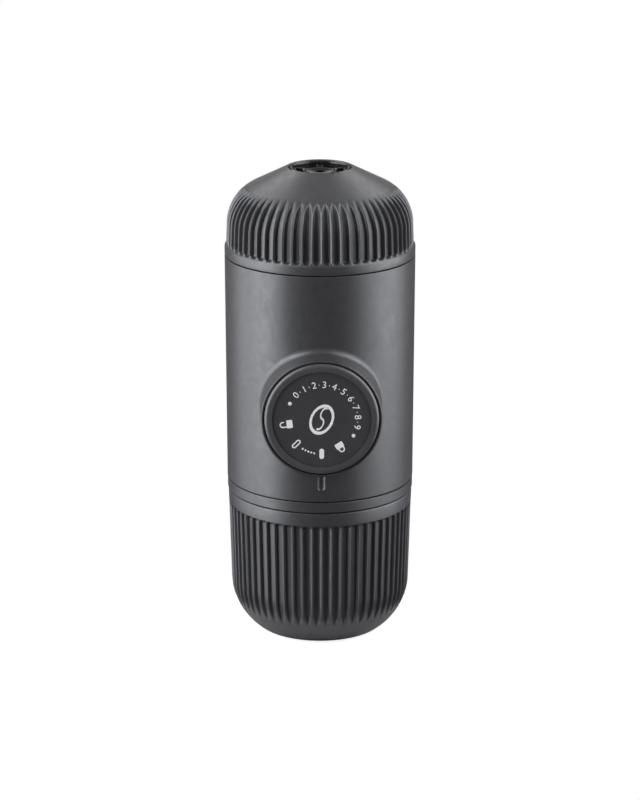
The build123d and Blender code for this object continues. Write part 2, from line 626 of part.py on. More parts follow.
# ================================================================ pump block and its fittings
def pump_block():
    barrel = PUMP * rod(BARREL_R, -BARREL_FRONT, BARREL_REAR)
    body = barrel + rod(PLATE_R, SOCKET_TOP, LOWER_PLATE_TOP)
    body += rod(PLATE_R, UPPER_PLATE_BOTTOM, UPPER_PLATE_TOP)
    body += Pos(0, PORT_Y) * rod(TOWER_R, SOCKET_TOP, UPPER_PLATE_TOP)
    knob_room = PUMP * rod(BOSS_R + LOOSE, -KNOB_FRONT, -BARREL_FRONT)
    body -= knob_room
    body -= PUMP * rod(BORE_R, -BARREL_FRONT, BARREL_REAR)
    body -= PUMP * rod(BARREL_R + HOLE_PLAY, BARREL_REAR, PLATE_R)
    body -= Pos(0, PORT_Y) * rod(VALVE_POCKET_R, SOCKET_TOP, INLET_POCKET_TOP)
    body -= Pos(0, PORT_Y) * rod(PORT_R, INLET_POCKET_TOP, OUTLET_SEAT)
    body -= Pos(0, PORT_Y) * rod(VALVE_POCKET_R, OUTLET_SEAT, UPPER_PLATE_TOP)
    body -= Pos(0, -VENT_Y) * rod(VENT_STEM_R + LOOSE, SOCKET_TOP, LOWER_PLATE_TOP)
    for place in core_screw_places():
        body -= place * rod(CORE_SCREW_R + HOLE_PLAY, SOCKET_TOP, UPPER_PLATE_TOP)
    guide_screw_end = -BARREL_FRONT + GUIDE_SCREW_GRIP + LOOSE
    for place in guide_screw_places():
        body -= PUMP * place * rod(SMALL_SCREW_R + SNUG, -BARREL_FRONT, guide_screw_end)
    return body


def guide_screw_places():
    return around(GUIDE_SCREW_COUNT, (BORE_R + BARREL_R) / 2, GUIDE_SCREW_TURN)


def rear_plug():
    body = rod(BORE_R - SNUG, CHAMBER_END, BARREL_REAR)
    body += rod(BARREL_R - SNUG, BARREL_REAR, BARREL_REAR + PLUG_FLANGE_THICK)
    body -= rod(BORE_R - PLUG_WALL, CHAMBER_END + PLUG_END_WALL, BARREL_REAR + PLUG_FLANGE_THICK)
    groove_middle = (CHAMBER_END + BARREL_REAR) / 2
    groove_floor = BORE_R - SNUG - 2 * SEAL_WIRE_R
    body -= tube(BORE_R, groove_floor, groove_middle - SEAL_WIRE_R, groove_middle + SEAL_WIRE_R)
    return PUMP * body


def plug_seal():
    return PUMP * seal_ring(BORE_R - SNUG - SEAL_WIRE_R, SEAL_WIRE_R, (CHAMBER_END + BARREL_REAR) / 2)


def stem_guide():
    body = rod(BORE_R - SNUG, -BARREL_FRONT, -GUIDE_REAR) + rod(BARREL_R, -GUIDE_FRONT, -BARREL_FRONT)
    body -= rod(STEM_R + RUN, -GUIDE_FRONT, -GUIDE_REAR)
    middle = -(BARREL_FRONT + GUIDE_REAR) / 2
    body -= tube(STEM_R + RUN + 2 * SEAL_WIRE_R, STEM_R, middle - SEAL_WIRE_R, middle + SEAL_WIRE_R)
    body -= [place * rod(SMALL_SCREW_R + SNUG, -GUIDE_FRONT, -GUIDE_REAR) for place in guide_screw_places()]
    return PUMP * body


def stem_seal():
    middle = -(BARREL_FRONT + GUIDE_REAR) / 2
    return PUMP * seal_ring(STEM_R + RUN + SEAL_WIRE_R, SEAL_WIRE_R, middle)


def sector(outer, inner, low, high, angle, turn):
    """A piece of a ring, centred on an angle measured from local X."""
    wedge = [(0, 0), (2 * outer * cos(radians(-angle / 2)), 2 * outer * sin(radians(-angle / 2))),
             (2 * outer * cos(radians(angle / 2)), 2 * outer * sin(radians(angle / 2)))]
    slab = Pos(0, 0, low) * extrude(make_face(Polyline(*wedge, close=True)), high - low)
    return Rot(0, 0, turn) * (tube(outer, inner, low, high) & slab)


def lock_ring():
    lip_root = LOCK_LIP_R - LOCK_LIP_RISE
    body = tube(lip_root, STEM_R + LOOSE, -LOCK_FRONT, -GUIDE_FRONT)
    for turn in (0, 180):
        lip_back = -LOCK_FRONT + LOCK_LIP_THICK
        body += sector(LOCK_LIP_R, lip_root - LOCK_LIP_RISE / 2, -LOCK_FRONT, lip_back, LOCK_LIP_ANGLE, turn)
    body -= [place * rod(SMALL_SCREW_R + SNUG, -LOCK_FRONT, -GUIDE_FRONT) for place in guide_screw_places()]
    return PUMP * body


def guide_screws():
    length = LOCK_FRONT - BARREL_FRONT + GUIDE_SCREW_GRIP
    one = Pos(0, 0, -LOCK_FRONT) * screw(SMALL_SCREW_R, length, SMALL_SCREW_HEAD_R, SMALL_SCREW_HEAD)
    return [PUMP * place * one for place in guide_screw_places()]


def return_spring():
    return PUMP * coil(SPRING_R, SPRING_WIRE_R, SPRING_COILS, -STEM_INNER_END, CHAMBER_END)


def riser_tube():
    body = rod(RISER_R, UPPER_PLATE_TOP, RISER_TOP)
    body += rod(TOWER_R, UPPER_PLATE_TOP, UPPER_PLATE_TOP + RISER_FLANGE_THICK)
    body -= rod(RISER_BORE_R, UPPER_PLATE_TOP, RISER_TOP)
    body -= rod(VALVE_POCKET_R - LOOSE, UPPER_PLATE_TOP, OUTLET_SPRING_TOP)
    return Pos(0, PORT_Y) * body


def riser_seal():
    return Pos(0, PORT_Y) * tube(RISER_R - SNUG, RISER_BORE_R + SNUG, RISER_TOP, BREW_FLOOR_BOTTOM)


def outlet_valve():
    disc = rod(VALVE_R, OUTLET_SEAT, OUTLET_SEAT + VALVE_DISC)
    stem = rod(VALVE_STEM_R, OUTLET_SEAT, OUTLET_SPRING_TOP - VALVE_LIFT - VALVE_STOP_GAP)
    return Pos(0, PORT_Y) * (disc + stem)


def outlet_valve_spring():
    spring = coil(VALVE_SPRING_R, VALVE_SPRING_WIRE_R, VALVE_SPRING_COILS, OUTLET_SEAT + VALVE_DISC,
                  OUTLET_SPRING_TOP)
    return Pos(0, PORT_Y) * spring


# ================================================================ piston and knob
def piston_head():
    front = PISTON_FACE - PISTON_LENGTH
    body = tube(BORE_R - PISTON_PLAY, STEM_R + RUN, front, PISTON_FACE)
    middle = front + PISTON_LENGTH / 2
    groove_floor = BORE_R - RUN - 2 * SEAL_WIRE_R
    body -= tube(BORE_R, groove_floor, middle - SEAL_WIRE_R, middle + SEAL_WIRE_R)
    return PUMP * body


def piston_seal():
    middle = PISTON_FACE - PISTON_LENGTH / 2
    return PUMP * seal_ring(BORE_R - RUN - SEAL_WIRE_R, SEAL_WIRE_R, middle)


def piston_stem():
    rear = PISTON_FACE + RUN + CLIP_THICK + LOOSE
    body = rod(STEM_R, -STEM_FRONT, rear)
    body += rod(STEM_R + STEM_SHOULDER_WIDTH, SHOULDER_REAR - STEM_SHOULDER_THICK, SHOULDER_REAR)
    body -= rod(STEM_BORE_R, -STEM_INNER_END, rear)
    clip_front = PISTON_FACE + RUN
    body -= tube(STEM_R + LOOSE, STEM_R - CLIP_SINK, clip_front, clip_front + CLIP_THICK)
    body -= rod(KNOB_SCREW_R + SNUG, -STEM_FRONT, -STEM_INNER_END)
    return PUMP * body


def stem_clip():
    clip_front = PISTON_FACE + RUN
    clip_r = STEM_R + CLIP_WIDTH
    ring = tube(clip_r, STEM_R - CLIP_SINK + SNUG, clip_front, clip_front + CLIP_THICK)
    gap = Pos(clip_r, 0, clip_front) * Box(2 * clip_r, CLIP_GAP, 4 * CLIP_THICK)
    return PUMP * (ring - gap)


def knob_cap():
    body = rod(KNOB_R, -KNOB_FRONT, -KNOB_BACK)
    body = fillet(body.edges().sort_by(Axis.Z)[0], KNOB_EDGE_ROUND)
    body -= rod(DIAL_R + SNUG, -KNOB_FRONT, -DIAL_BACK)
    body -= rod(KNOB_R - KNOB_SIDE_WALL, -KNOB_PLATE_BACK, -KNOB_BACK)
    body += tube(SKIRT_R, SKIRT_R - SKIRT_WALL, -KNOB_PLATE_BACK, -SKIRT_BACK)
    body += rod(STEM_R + KNOB_BOSS_WALL, -KNOB_PLATE_BACK, -STEM_FRONT)
    for turn in (0, 180):
        lug_root = SKIRT_R - SKIRT_WALL / 2
        body += sector(lug_root, LUG_R, -SKIRT_BACK - LUG_THICK, -SKIRT_BACK, LUG_ANGLE, turn)
    body -= rod(KNOB_SCREW_R + HOLE_PLAY, -DIAL_BACK, -STEM_FRONT)
    body -= rod(KNOB_SCREW_HEAD_R + HOLE_PLAY, -DIAL_BACK, -DIAL_BACK + KNOB_SCREW_HEAD + HOLE_PLAY)
    return PUMP * body


def knob_screw():
    head_back = -DIAL_BACK + KNOB_SCREW_HEAD + HOLE_PLAY
    length = -STEM_INNER_END - LOOSE - head_back
    return PUMP * Pos(0, 0, head_back) * screw(KNOB_SCREW_R, length, KNOB_SCREW_HEAD_R, KNOB_SCREW_HEAD)


def dial_plate():
    body = rod(DIAL_R, -DIAL_FRONT, -DIAL_BACK)
    return PUMP * body


def mark_at(angle, shape):
    """A print on the dial's face; 0 degrees is the bottom, seen from the front clockwise is positive."""
    raised = Pos(0, 0, -DIAL_FRONT - MARK_RAISE) * extrude(Pos(0, DIAL_R - MARK_SET_IN) * shape, MARK_RAISE)
    return Rot(0, 0, angle) * raised


def dial_inlay():
    pill = SlotOverall(PILL_LENGTH, PILL_WIDTH, rotation=90)
    hollow = pill - SlotOverall(PILL_LENGTH - 2 * PILL_LINE, PILL_WIDTH - 2 * PILL_LINE, rotation=90)
    marks = [mark_at(0, pill), mark_at(UNLOCK_ANGLE, hollow)]
    marks += [mark_at(DOT_FIRST_ANGLE + step * DOT_STEP_ANGLE, Circle(DOT_R)) for step in range(DOT_COUNT)]
    marks += [mark_at(angle, Circle(BULLET_R)) for angle in BULLET_ANGLES]
    return [PUMP * mark for mark in marks]


# ================================================================ brewing end
def brew_head():
    body = rod(NECK_R, BREW_FLOOR_BOTTOM, NECK_TOP)
    body += tube(NECK_R, BREW_BORE_R, BREW_FLANGE_BOTTOM, NECK_TOP)
    body += tube(BODY_TOP_R - BODY_WALL - LOOSE, BREW_BORE_R, BREW_FLANGE_BOTTOM, SHELL_FLANGE_BOTTOM)
    body += thread(NECK_R, 1, BODY_TOP + THREAD_FIRST)
    body -= rod(BREW_BORE_R, SHOWER_BOTTOM, NECK_TOP)
    body -= rod(BREW_BORE_R - SHOWER_LEDGE, BREW_FLOOR_TOP, SHOWER_BOTTOM)
    body -= rod(BASKET_FLANGE_R + HOLE_PLAY, BASKET_SEAT, NECK_TOP)
    body += rod(SHOWER_BOSS_R, BREW_FLOOR_TOP, SHOWER_BOTTOM)
    body -= rod(SHOWER_SCREW_R + SNUG, BREW_FLOOR_TOP - SHOWER_SCREW_GRIP - HOLE_PLAY, SHOWER_BOTTOM)
    body -= Pos(0, PORT_Y) * rod(RISER_BORE_R, BREW_FLOOR_BOTTOM, BREW_FLOOR_TOP)
    core_screw_end = UPPER_PLATE_TOP + CORE_SCREW_GRIP + CORE_SCREW_TIP_ROOM
    for place in core_screw_places():
        body += place * rod(CORE_BOSS_R, UPPER_PLATE_TOP, BREW_FLOOR_BOTTOM)
        body -= place * rod(CORE_SCREW_R + SNUG, UPPER_PLATE_TOP, core_screw_end)
    for place in shell_screw_places():
        body -= place * rod(SMALL_SCREW_R + HOLE_PLAY, BREW_FLANGE_BOTTOM, SHELL_FLANGE_BOTTOM)
    return body


def shell_screw_places():
    inner = NECK_R + LOOSE
    outer = BODY_TOP_R - BODY_WALL
    return around(SHELL_SCREW_COUNT, (inner + outer) / 2, SHELL_SCREW_TURN)


def shell_screws():
    length = BREW_FLANGE_THICK + SHELL_SCREW_GRIP
    one = Pos(0, 0, BREW_FLANGE_BOTTOM) * screw(SMALL_SCREW_R, length, SMALL_SCREW_HEAD_R, SMALL_SCREW_HEAD)
    return [place * one for place in shell_screw_places()]


def dispersion_plate():
    plate = rod(BREW_BORE_R - HOLE_PLAY, SHOWER_BOTTOM, SHOWER_TOP)
    rings = hole_rings(BREW_BORE_R - SHOWER_LEDGE, SHOWER_HOLE_R)
    plate -= perforation(rings, SHOWER_HOLE_R, SHOWER_BOTTOM, SHOWER_TOP)[1:]
    return plate - rod(SHOWER_SCREW_R + HOLE_PLAY, SHOWER_BOTTOM, SHOWER_TOP)


def shower_screw():
    down = Pos(0, 0, SHOWER_TOP) * Rot(180, 0, 0)
    length = SHOWER_THICK + SHOWER_CHAMBER + SHOWER_SCREW_GRIP
    return down * screw(SHOWER_SCREW_R, length, SHOWER_SCREW_HEAD_R, SHOWER_SCREW_HEAD)


def filter_basket():
    body = rod(BASKET_R, BASKET_BOTTOM, NECK_TOP)
    body = fillet(body.edges().sort_by(Axis.Z)[0], BASKET_ROUND)
    body += rod(BASKET_FLANGE_R, BASKET_SEAT, NECK_TOP)
    inside = rod(BASKET_R - BASKET_WALL, BASKET_BOTTOM + BASKET_WALL, NECK_TOP)
    inside = fillet(inside.edges().sort_by(Axis.Z)[0], BASKET_ROUND - BASKET_WALL)
    body -= inside
    rings = hole_rings(BASKET_R - BASKET_ROUND, BASKET_HOLE_R)
    return body - perforation(rings, BASKET_HOLE_R, BASKET_BOTTOM, BASKET_BOTTOM + BASKET_WALL)


def basket_gasket():
    return tube(GASKET_R, BASKET_R - BASKET_WALL + LOOSE, NECK_TOP, CORE_PLATE_BOTTOM)


# ================================================================ outlet head
def head_outside():
    centre = shoulder_centre()
    band_top = HEAD_BOTTOM + HEAD_BAND_HEIGHT
    rib_bottom = band_top + HEAD_STEP_HEIGHT
    shoulder = arc_about(centre, HEAD_SHOULDER_R, 0, 90 - cone_angle())
    lip = (MOUTH_R, HEAD_TOP)
    step = Spline((HEAD_BAND_R, band_top), (HEAD_RIB_R, rib_bottom), tangents=[(0, 1), (0, 1)])
    inner_foot = (HEAD_BAND_R - EDGE_ROUND, HEAD_BOTTOM)
    foot = (HEAD_BAND_R, HEAD_BOTTOM + EDGE_ROUND)
    edge = TangentArc(inner_foot, foot, tangent=(1, 0))
    return turned_curve(Line((0, HEAD_BOTTOM), inner_foot), edge, Line(foot, (HEAD_BAND_R, band_top)), step,
                        Line((HEAD_RIB_R, rib_bottom), shoulder @ 0), shoulder, Line(shoulder @ 1, lip),
                        Line(lip, (0, HEAD_TOP)), Line((0, HEAD_TOP), (0, HEAD_BOTTOM)))


def head_inside():
    centre = shoulder_centre()
    shoulder = arc_about(centre, HEAD_SHOULDER_R - HEAD_WALL, 0, 90 - cone_angle())
    wall = centre[0] + HEAD_SHOULDER_R - HEAD_WALL
    lip = (MOUTH_R, cone_height(MOUTH_R, HEAD_WALL))
    return turned_curve(Line((0, HEAD_BOTTOM), (wall, HEAD_BOTTOM)), Line((wall, HEAD_BOTTOM), shoulder @ 0),
                        shoulder, Line(shoulder @ 1, lip), Line(lip, (0, lip[1])),
                        Line((0, lip[1]), (0, HEAD_BOTTOM)))


def head_groove():
    centre = shoulder_centre()
    start = HEAD_BOTTOM + HEAD_BAND_HEIGHT + HEAD_STEP_HEIGHT
    floor_r = HEAD_RIB_R - GROOVE_DEPTH

    def on_shoulder(inset, angle):
        radius = HEAD_SHOULDER_R - inset
        return (centre[0] + radius * cos(radians(angle)), centre[1] + radius * sin(radians(angle)))

    fade = on_shoulder(GROOVE_DEPTH, HEAD_GROOVE_FADE_START)
    knee = on_shoulder(GROOVE_DEPTH, 0)
    bend = ThreePointArc(knee, on_shoulder(GROOVE_DEPTH, HEAD_GROOVE_FADE_START / 2), fade)
    tip = on_shoulder(0, HEAD_GROOVE_FADE_END)
    outer = HEAD_BAND_R + GROOVE_DEPTH
    low = (floor_r, start + GROOVE_DEPTH)
    edges = [Line((HEAD_RIB_R, start), low), Line(low, knee), bend, Line(fade, tip),
             Line(tip, (outer, tip[1])), Line((outer, tip[1]), (outer, start)),
             Line((outer, start), (HEAD_RIB_R, start))]
    return extrude(Plane.XZ * make_face(Curve() + edges), GROOVE_WIDTH / 2, both=True)


def head_screw_places():
    return around(HEAD_SCREW_COUNT, HEAD_SCREW_CIRCLE_R, HEAD_SCREW_TURN)


def head_shell():
    outside = grooved(head_outside(), head_groove())
    body = outside - head_inside() - rod(MOUTH_R, CORE_PLATE_TOP, HEAD_TOP)
    mouth_edge = body.edges().filter_by(GeomType.CIRCLE).sort_by(Axis.Z)[-1]
    body = fillet(mouth_edge, MOUTH_ROUND)
    boss_top = cone_height(HEAD_SCREW_CIRCLE_R + HEAD_BOSS_R, HEAD_WALL - HEAD_BOSS_BITE)
    for place in head_screw_places():
        body += place * rod(HEAD_BOSS_R, CORE_PLATE_TOP, boss_top)
        body -= place * rod(HEAD_SCREW_R + SNUG, CORE_PLATE_TOP, CORE_PLATE_TOP + HEAD_SCREW_GRIP + LOOSE)
    return body


def head_core():
    centre = shoulder_centre()
    shoulder_r = HEAD_SHOULDER_R - HEAD_WALL - SNUG
    shoulder_end = degrees(asin((CORE_PLATE_TOP - centre[1]) / shoulder_r))
    shoulder = arc_about(centre, shoulder_r, 0, shoulder_end)
    foot = (centre[0] + shoulder_r, CORE_BOTTOM)
    inner = NECK_R + THREAD_DEPTH + THREAD_PLAY
    body = turned_curve(Line((0, CORE_BOTTOM), foot), Line(foot, shoulder @ 0), shoulder,
                        Line(shoulder @ 1, (0, CORE_PLATE_TOP)), Line((0, CORE_PLATE_TOP), (0, CORE_BOTTOM)))
    body += rod(PEDESTAL_R, CORE_PLATE_TOP, PEDESTAL_TOP)
    body += rod(OUTLET_TUBE_R, PEDESTAL_TOP, PEDESTAL_TOP + OUTLET_TUBE_HEIGHT)
    body -= rod(inner, CORE_BOTTOM, CORE_PLATE_BOTTOM)
    body += thread(inner, -1, BODY_TOP + THREAD_FIRST + THREAD_PITCH / 2)
    body -= rod(SCREEN_R + SCREEN_RING_WIDTH, CORE_PLATE_BOTTOM, SCREEN_TOP)
    body -= turned((0, SCREEN_TOP), (FUNNEL_R, SCREEN_TOP), (OUTLET_BORE_R, SCREEN_TOP + FUNNEL_DEPTH),
                   (0, SCREEN_TOP + FUNNEL_DEPTH))
    body -= rod(OUTLET_BORE_R, SCREEN_TOP, PEDESTAL_TOP + OUTLET_TUBE_HEIGHT)
    body -= tube(SPOUT_SEAL_R + SNUG, OUTLET_TUBE_R, PEDESTAL_TOP - SPOUT_SEAL_THICK, PEDESTAL_TOP)
    for place in head_screw_places():
        body -= place * rod(HEAD_SCREW_R + HOLE_PLAY, SCREEN_TOP, CORE_PLATE_TOP)
        body -= place * rod(HEAD_SCREW_HEAD_R + HOLE_PLAY, SCREEN_TOP, HEAD_SCREW_SEAT)
    return body


def head_screws():
    length = CORE_PLATE_TOP + HEAD_SCREW_GRIP - HEAD_SCREW_SEAT
    one = Pos(0, 0, HEAD_SCREW_SEAT) * screw(HEAD_SCREW_R, length, HEAD_SCREW_HEAD_R, HEAD_SCREW_HEAD)
    return [place * one for place in head_screw_places()]


def outlet_screen():
    plate = rod(SCREEN_R, CORE_PLATE_BOTTOM, SCREEN_TOP)
    rings = hole_rings(SCREEN_R - SCREEN_RING_WIDTH, SCREEN_HOLE_R)
    return plate - perforation(rings, SCREEN_HOLE_R, CORE_PLATE_BOTTOM, SCREEN_TOP)


def screen_ring():
    return tube(SCREEN_R + SCREEN_RING_WIDTH - SNUG, SCREEN_R + SNUG, CORE_PLATE_BOTTOM, SCREEN_TOP)


def spout():
    ring_r = MOUTH_R - SPOUT_PLAY
    rim = HEAD_TOP - SPOUT_RIM_DROP
    floor_top = PEDESTAL_TOP + SPOUT_FLOOR
    body = tube(ring_r, ring_r - SPOUT_WALL, PEDESTAL_TOP, rim)
    body += rod(SPOUT_FLANGE_R, PEDESTAL_TOP, floor_top)
    body += rod(SPOUT_NOZZLE_R, PEDESTAL_TOP, PEDESTAL_TOP + SPOUT_NOZZLE_HEIGHT)
    web = Pos(ring_r / 2, 0, floor_top) * Box(ring_r - SPOUT_WALL / 2, SPOUT_WEB_THICK, SPOUT_WEB_HEIGHT,
                                              align=(Align.CENTER, Align.CENTER, Align.MIN))
    web -= rod(OUTLET_TUBE_R, PEDESTAL_TOP, rim)
    for step in range(SPOUT_WEBS):
        body += Rot(0, 0, (step + 0.5) * 360 / SPOUT_WEBS) * web
    body -= rod(OUTLET_TUBE_R + SNUG, PEDESTAL_TOP, PEDESTAL_TOP + OUTLET_TUBE_HEIGHT + SNUG)
    body -= rod(SPOUT_BORE_R, PEDESTAL_TOP, PEDESTAL_TOP + SPOUT_NOZZLE_HEIGHT)
    return body


def spout_seal():
    return tube(SPOUT_SEAL_R, OUTLET_TUBE_R + SNUG, PEDESTAL_TOP - SPOUT_SEAL_THICK, PEDESTAL_TOP)


# ================================================================ main body shell
def index_cutter():
    """A round-ended bar that sinks a shallow trough with round ends into the body's front."""
    bar_r = (INDEX_WIDTH ** 2 / 4 + INDEX_DEPTH ** 2) / (2 * INDEX_DEPTH)
    reach = (INDEX_LENGTH - INDEX_WIDTH) / 2
    bar = Cylinder(bar_r, 2 * reach) + Pos(0, 0, reach) * Sphere(bar_r) + Pos(0, 0, -reach) * Sphere(bar_r)
    middle = BODY_BOTTOM + INDEX_RISE + INDEX_LENGTH / 2
    return Pos(0, -(BODY_BOTTOM_R - INDEX_DEPTH + bar_r), middle) * bar


def body_shell():
    outside = turned((0, BODY_BOTTOM), (BODY_BOTTOM_R, BODY_BOTTOM), (BODY_TOP_R, BODY_TOP), (0, BODY_TOP))
    outside += PUMP * rod(BOSS_R, -BOSS_FRONT, 0)
    base_edges = [edge for edge in outside.edges() if edge.geom_type not in (GeomType.CIRCLE, GeomType.LINE)]
    outside = fillet(base_edges, BOSS_BASE_ROUND)
    front_edge = outside.edges().filter_by(GeomType.CIRCLE).sort_by(Axis.Y)[0]
    outside = fillet(front_edge, BOSS_EDGE_ROUND)
    outside = fillet(rim_edges(outside, BODY_BOTTOM_R, BODY_TOP_R), EDGE_ROUND)
    inside = turned((0, BODY_BOTTOM), (BODY_BOTTOM_R - BODY_WALL, BODY_BOTTOM),
                    (BODY_TOP_R - BODY_WALL, SHELL_FLANGE_BOTTOM), (0, SHELL_FLANGE_BOTTOM))
    body = outside - inside
    body -= PUMP * rod(BOSS_BORE_R, -BOSS_FRONT, -KNOB_BACK + LOOSE)
    body -= PUMP * rod(SKIRT_R + LOOSE, -BOSS_FRONT, -GUIDE_REAR)
    body -= rod(NECK_R + LOOSE, SHELL_FLANGE_BOTTOM, BODY_TOP)
    body -= index_cutter()
    screw_end = SHELL_FLANGE_BOTTOM + SHELL_SCREW_GRIP + HOLE_PLAY
    for place in shell_screw_places():
        body -= place * rod(SMALL_SCREW_R + SNUG, SHELL_FLANGE_BOTTOM, screw_end)
    return body


PARTS = [body_shell, brew_head, dispersion_plate, shower_screw, filter_basket, shell_screws, pump_block,
         rear_plug, plug_seal, stem_guide, stem_seal, lock_ring, guide_screws, return_spring, tank_socket,
         core_screws, inlet_strainer, vent_valve, riser_tube, riser_seal, inlet_valve, inlet_valve_spring,
         outlet_valve, outlet_valve_spring, piston_head, piston_seal, piston_stem, stem_clip, knob_cap,
         knob_screw, dial_plate, dial_inlay, basket_gasket, head_shell, head_core, head_screws,
         outlet_screen, screen_ring, spout, spout_seal, tank_seal, water_tank, tank_collar, cup_ring,
         drinking_cup]

os.makedirs("parts", exist_ok=True)
for make in PARTS:
    made = make()
    shape = Compound(children=made) if isinstance(made, list) else made
    export_step(shape, f"parts/{make.__name__}.step")
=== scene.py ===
# %% [markdown]
# # A handheld espresso maker, dressed for its portrait
# The maker arrives as a frame of exact solids: every shell, screw, seal and spring is in its place and is
# never moved. This lesson gives those solids their finishes, and makes a few pieces again where the eye
# wants more than a plain solid shows: the ribbed cup, the ribbed head, the spout, the prints on the dial
# and the pump's spring.

# %% Load the frame
import json
from math import acos, atan2, cos, hypot, pi, radians, sin, sqrt

import bmesh
import bpy
from mathutils import Matrix, Vector


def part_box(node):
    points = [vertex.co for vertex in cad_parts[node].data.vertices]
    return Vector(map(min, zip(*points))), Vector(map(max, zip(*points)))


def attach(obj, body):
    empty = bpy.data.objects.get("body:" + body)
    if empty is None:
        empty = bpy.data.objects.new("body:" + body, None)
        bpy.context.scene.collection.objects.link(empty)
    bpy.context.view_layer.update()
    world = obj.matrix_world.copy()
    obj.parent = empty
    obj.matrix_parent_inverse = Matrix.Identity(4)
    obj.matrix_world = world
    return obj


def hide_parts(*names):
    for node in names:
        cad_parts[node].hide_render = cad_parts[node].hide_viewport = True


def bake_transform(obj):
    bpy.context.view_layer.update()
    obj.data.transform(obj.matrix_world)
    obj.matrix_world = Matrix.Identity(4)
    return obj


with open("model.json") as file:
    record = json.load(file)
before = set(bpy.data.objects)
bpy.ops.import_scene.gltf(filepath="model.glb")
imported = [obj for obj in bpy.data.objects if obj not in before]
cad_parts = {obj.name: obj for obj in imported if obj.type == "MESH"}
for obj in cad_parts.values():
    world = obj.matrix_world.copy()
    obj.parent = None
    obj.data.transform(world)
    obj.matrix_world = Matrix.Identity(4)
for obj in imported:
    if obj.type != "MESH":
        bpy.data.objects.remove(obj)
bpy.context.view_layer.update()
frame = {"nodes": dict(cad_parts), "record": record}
scene = bpy.context.scene
MM = 0.001
print("pieces in the frame:", len(frame["nodes"]))

# %% [markdown]
# ## The camera
# A long lens far away keeps the maker's sides nearly parallel. The camera looks slightly down, so the
# rims show as flat ellipses. Its place is given by a distance, a height and the point that it looks at.

# %% Camera
CAMERA_DISTANCE = 903.9 * MM
CAMERA_HEIGHT = 355.55 * MM
CAMERA_TURN = radians(-0.8)
LENS = 128.96
AIM_HEIGHT = 76.95 * MM


def place_camera():
    data = bpy.data.cameras.new("camera")
    data.lens = LENS
    camera = bpy.data.objects.new("camera", data)
    scene.collection.objects.link(camera)
    camera.location = (CAMERA_DISTANCE * sin(CAMERA_TURN), -CAMERA_DISTANCE * cos(CAMERA_TURN),
                       CAMERA_HEIGHT)
    aim = Vector((0, 0, AIM_HEIGHT)) - camera.location
    camera.rotation_euler = aim.to_track_quat("-Z", "Y").to_euler()
    scene.camera = camera
    return camera


camera = place_camera()
print("camera at", [round(value, 4) for value in camera.location])

# %% [markdown]
# ## Light
# Matte plastic shows its form through wide, soft reflections. Two tall softboxes stand left and right of
# the maker, so each throws one broad band down its side and leaves the front dark. A narrower box is laid
# over a part of each wide one, so that the band has a bright core and fades to both sides. Two boxes
# behind and above do the same for the cone's flanks, and a weak panel lights it from the top.

# %% Lamps
SIDE_DISTANCE = 0.60
SIDE_TOP = 1.12
LEFT_FOOT = -0.20
RIGHT_FOOT = -0.13
REAR_DISTANCE = 0.62
REAR_HEIGHT = 0.69
REAR_SIZE = 0.40
TOP_HEIGHT = 0.85
TOP_SIZE = 0.60
AIM_LIMIT = 0.6                 # no lamp looks at a point higher than this
scene.view_settings.view_transform = "Standard"


def softbox(name, turn, distance, height, width, tall, radiance):
    """A soft panel that faces the maker; turn is its compass angle from the camera's side."""
    data = bpy.data.lights.new(name, "AREA")
    data.shape = "RECTANGLE"
    data.size = width
    data.size_y = tall
    data.energy = radiance * pi * width * tall
    lamp = bpy.data.objects.new(name, data)
    lamp.location = (distance * sin(radians(turn)), -distance * cos(radians(turn)), height)
    towards = Vector((0, 0, min(height, AIM_LIMIT))) - lamp.location
    lamp.rotation_euler = towards.to_track_quat("-Z", "Y").to_euler()
    lamp.visible_camera = False
    scene.collection.objects.link(lamp)
    return lamp


def side_box(name, turn, half_angle, foot, radiance):
    """A tall box from a foot height up; what it throws on the maker weakens towards the table."""
    width = 2 * SIDE_DISTANCE * sin(radians(half_angle)) / cos(radians(half_angle))
    return softbox(name, turn, SIDE_DISTANCE, (SIDE_TOP + foot) / 2, width, SIDE_TOP - foot, radiance)


side_box("left_wide", turn=-83, half_angle=34, foot=LEFT_FOOT, radiance=2.55)
side_box("left_core", turn=-68, half_angle=16, foot=LEFT_FOOT, radiance=2.55)
side_box("right_wide", turn=81, half_angle=32, foot=RIGHT_FOOT, radiance=2.75)
side_box("right_core", turn=84, half_angle=12, foot=RIGHT_FOOT, radiance=1.6)
softbox("left_rear", -150, REAR_DISTANCE, REAR_HEIGHT, REAR_SIZE, REAR_SIZE, radiance=2.7)
softbox("right_rear", 148, REAR_DISTANCE, REAR_HEIGHT, REAR_SIZE, REAR_SIZE, radiance=2.7)
softbox("top_panel", 0, 0.0, TOP_HEIGHT, TOP_SIZE, TOP_SIZE, radiance=0.3)

# %% [markdown]
# ## Backdrop and floor
# The camera, and whatever is seen through glass, meets plain white paper all round. A mirrored ray meets
# it only when it goes almost straight back, and otherwise sees the dark studio, so the paper does not
# wash out the collar and the spout. The light that the world gives the object is a separate, weak grey.

# %% World
WORLD_LIGHT = 0.10
BACKDROP = 1.0
PAPER_SIDE = (0.965, 0.998)       # how squarely a mirrored ray must go backwards to meet the paper
PAPER_FOOT = (-0.25, -0.10)       # and how little it may go down


def math_node(nodes, links, operation, first, second, clamp=False):
    """A Math node whose inputs are sockets or plain numbers."""
    node = nodes.new("ShaderNodeMath")
    node.operation = operation
    node.use_clamp = clamp
    for slot, value in enumerate((first, second)):
        if isinstance(value, (int, float)):
            node.inputs[slot].default_value = value
        else:
            links.new(value, node.inputs[slot])
    return node.outputs[0]


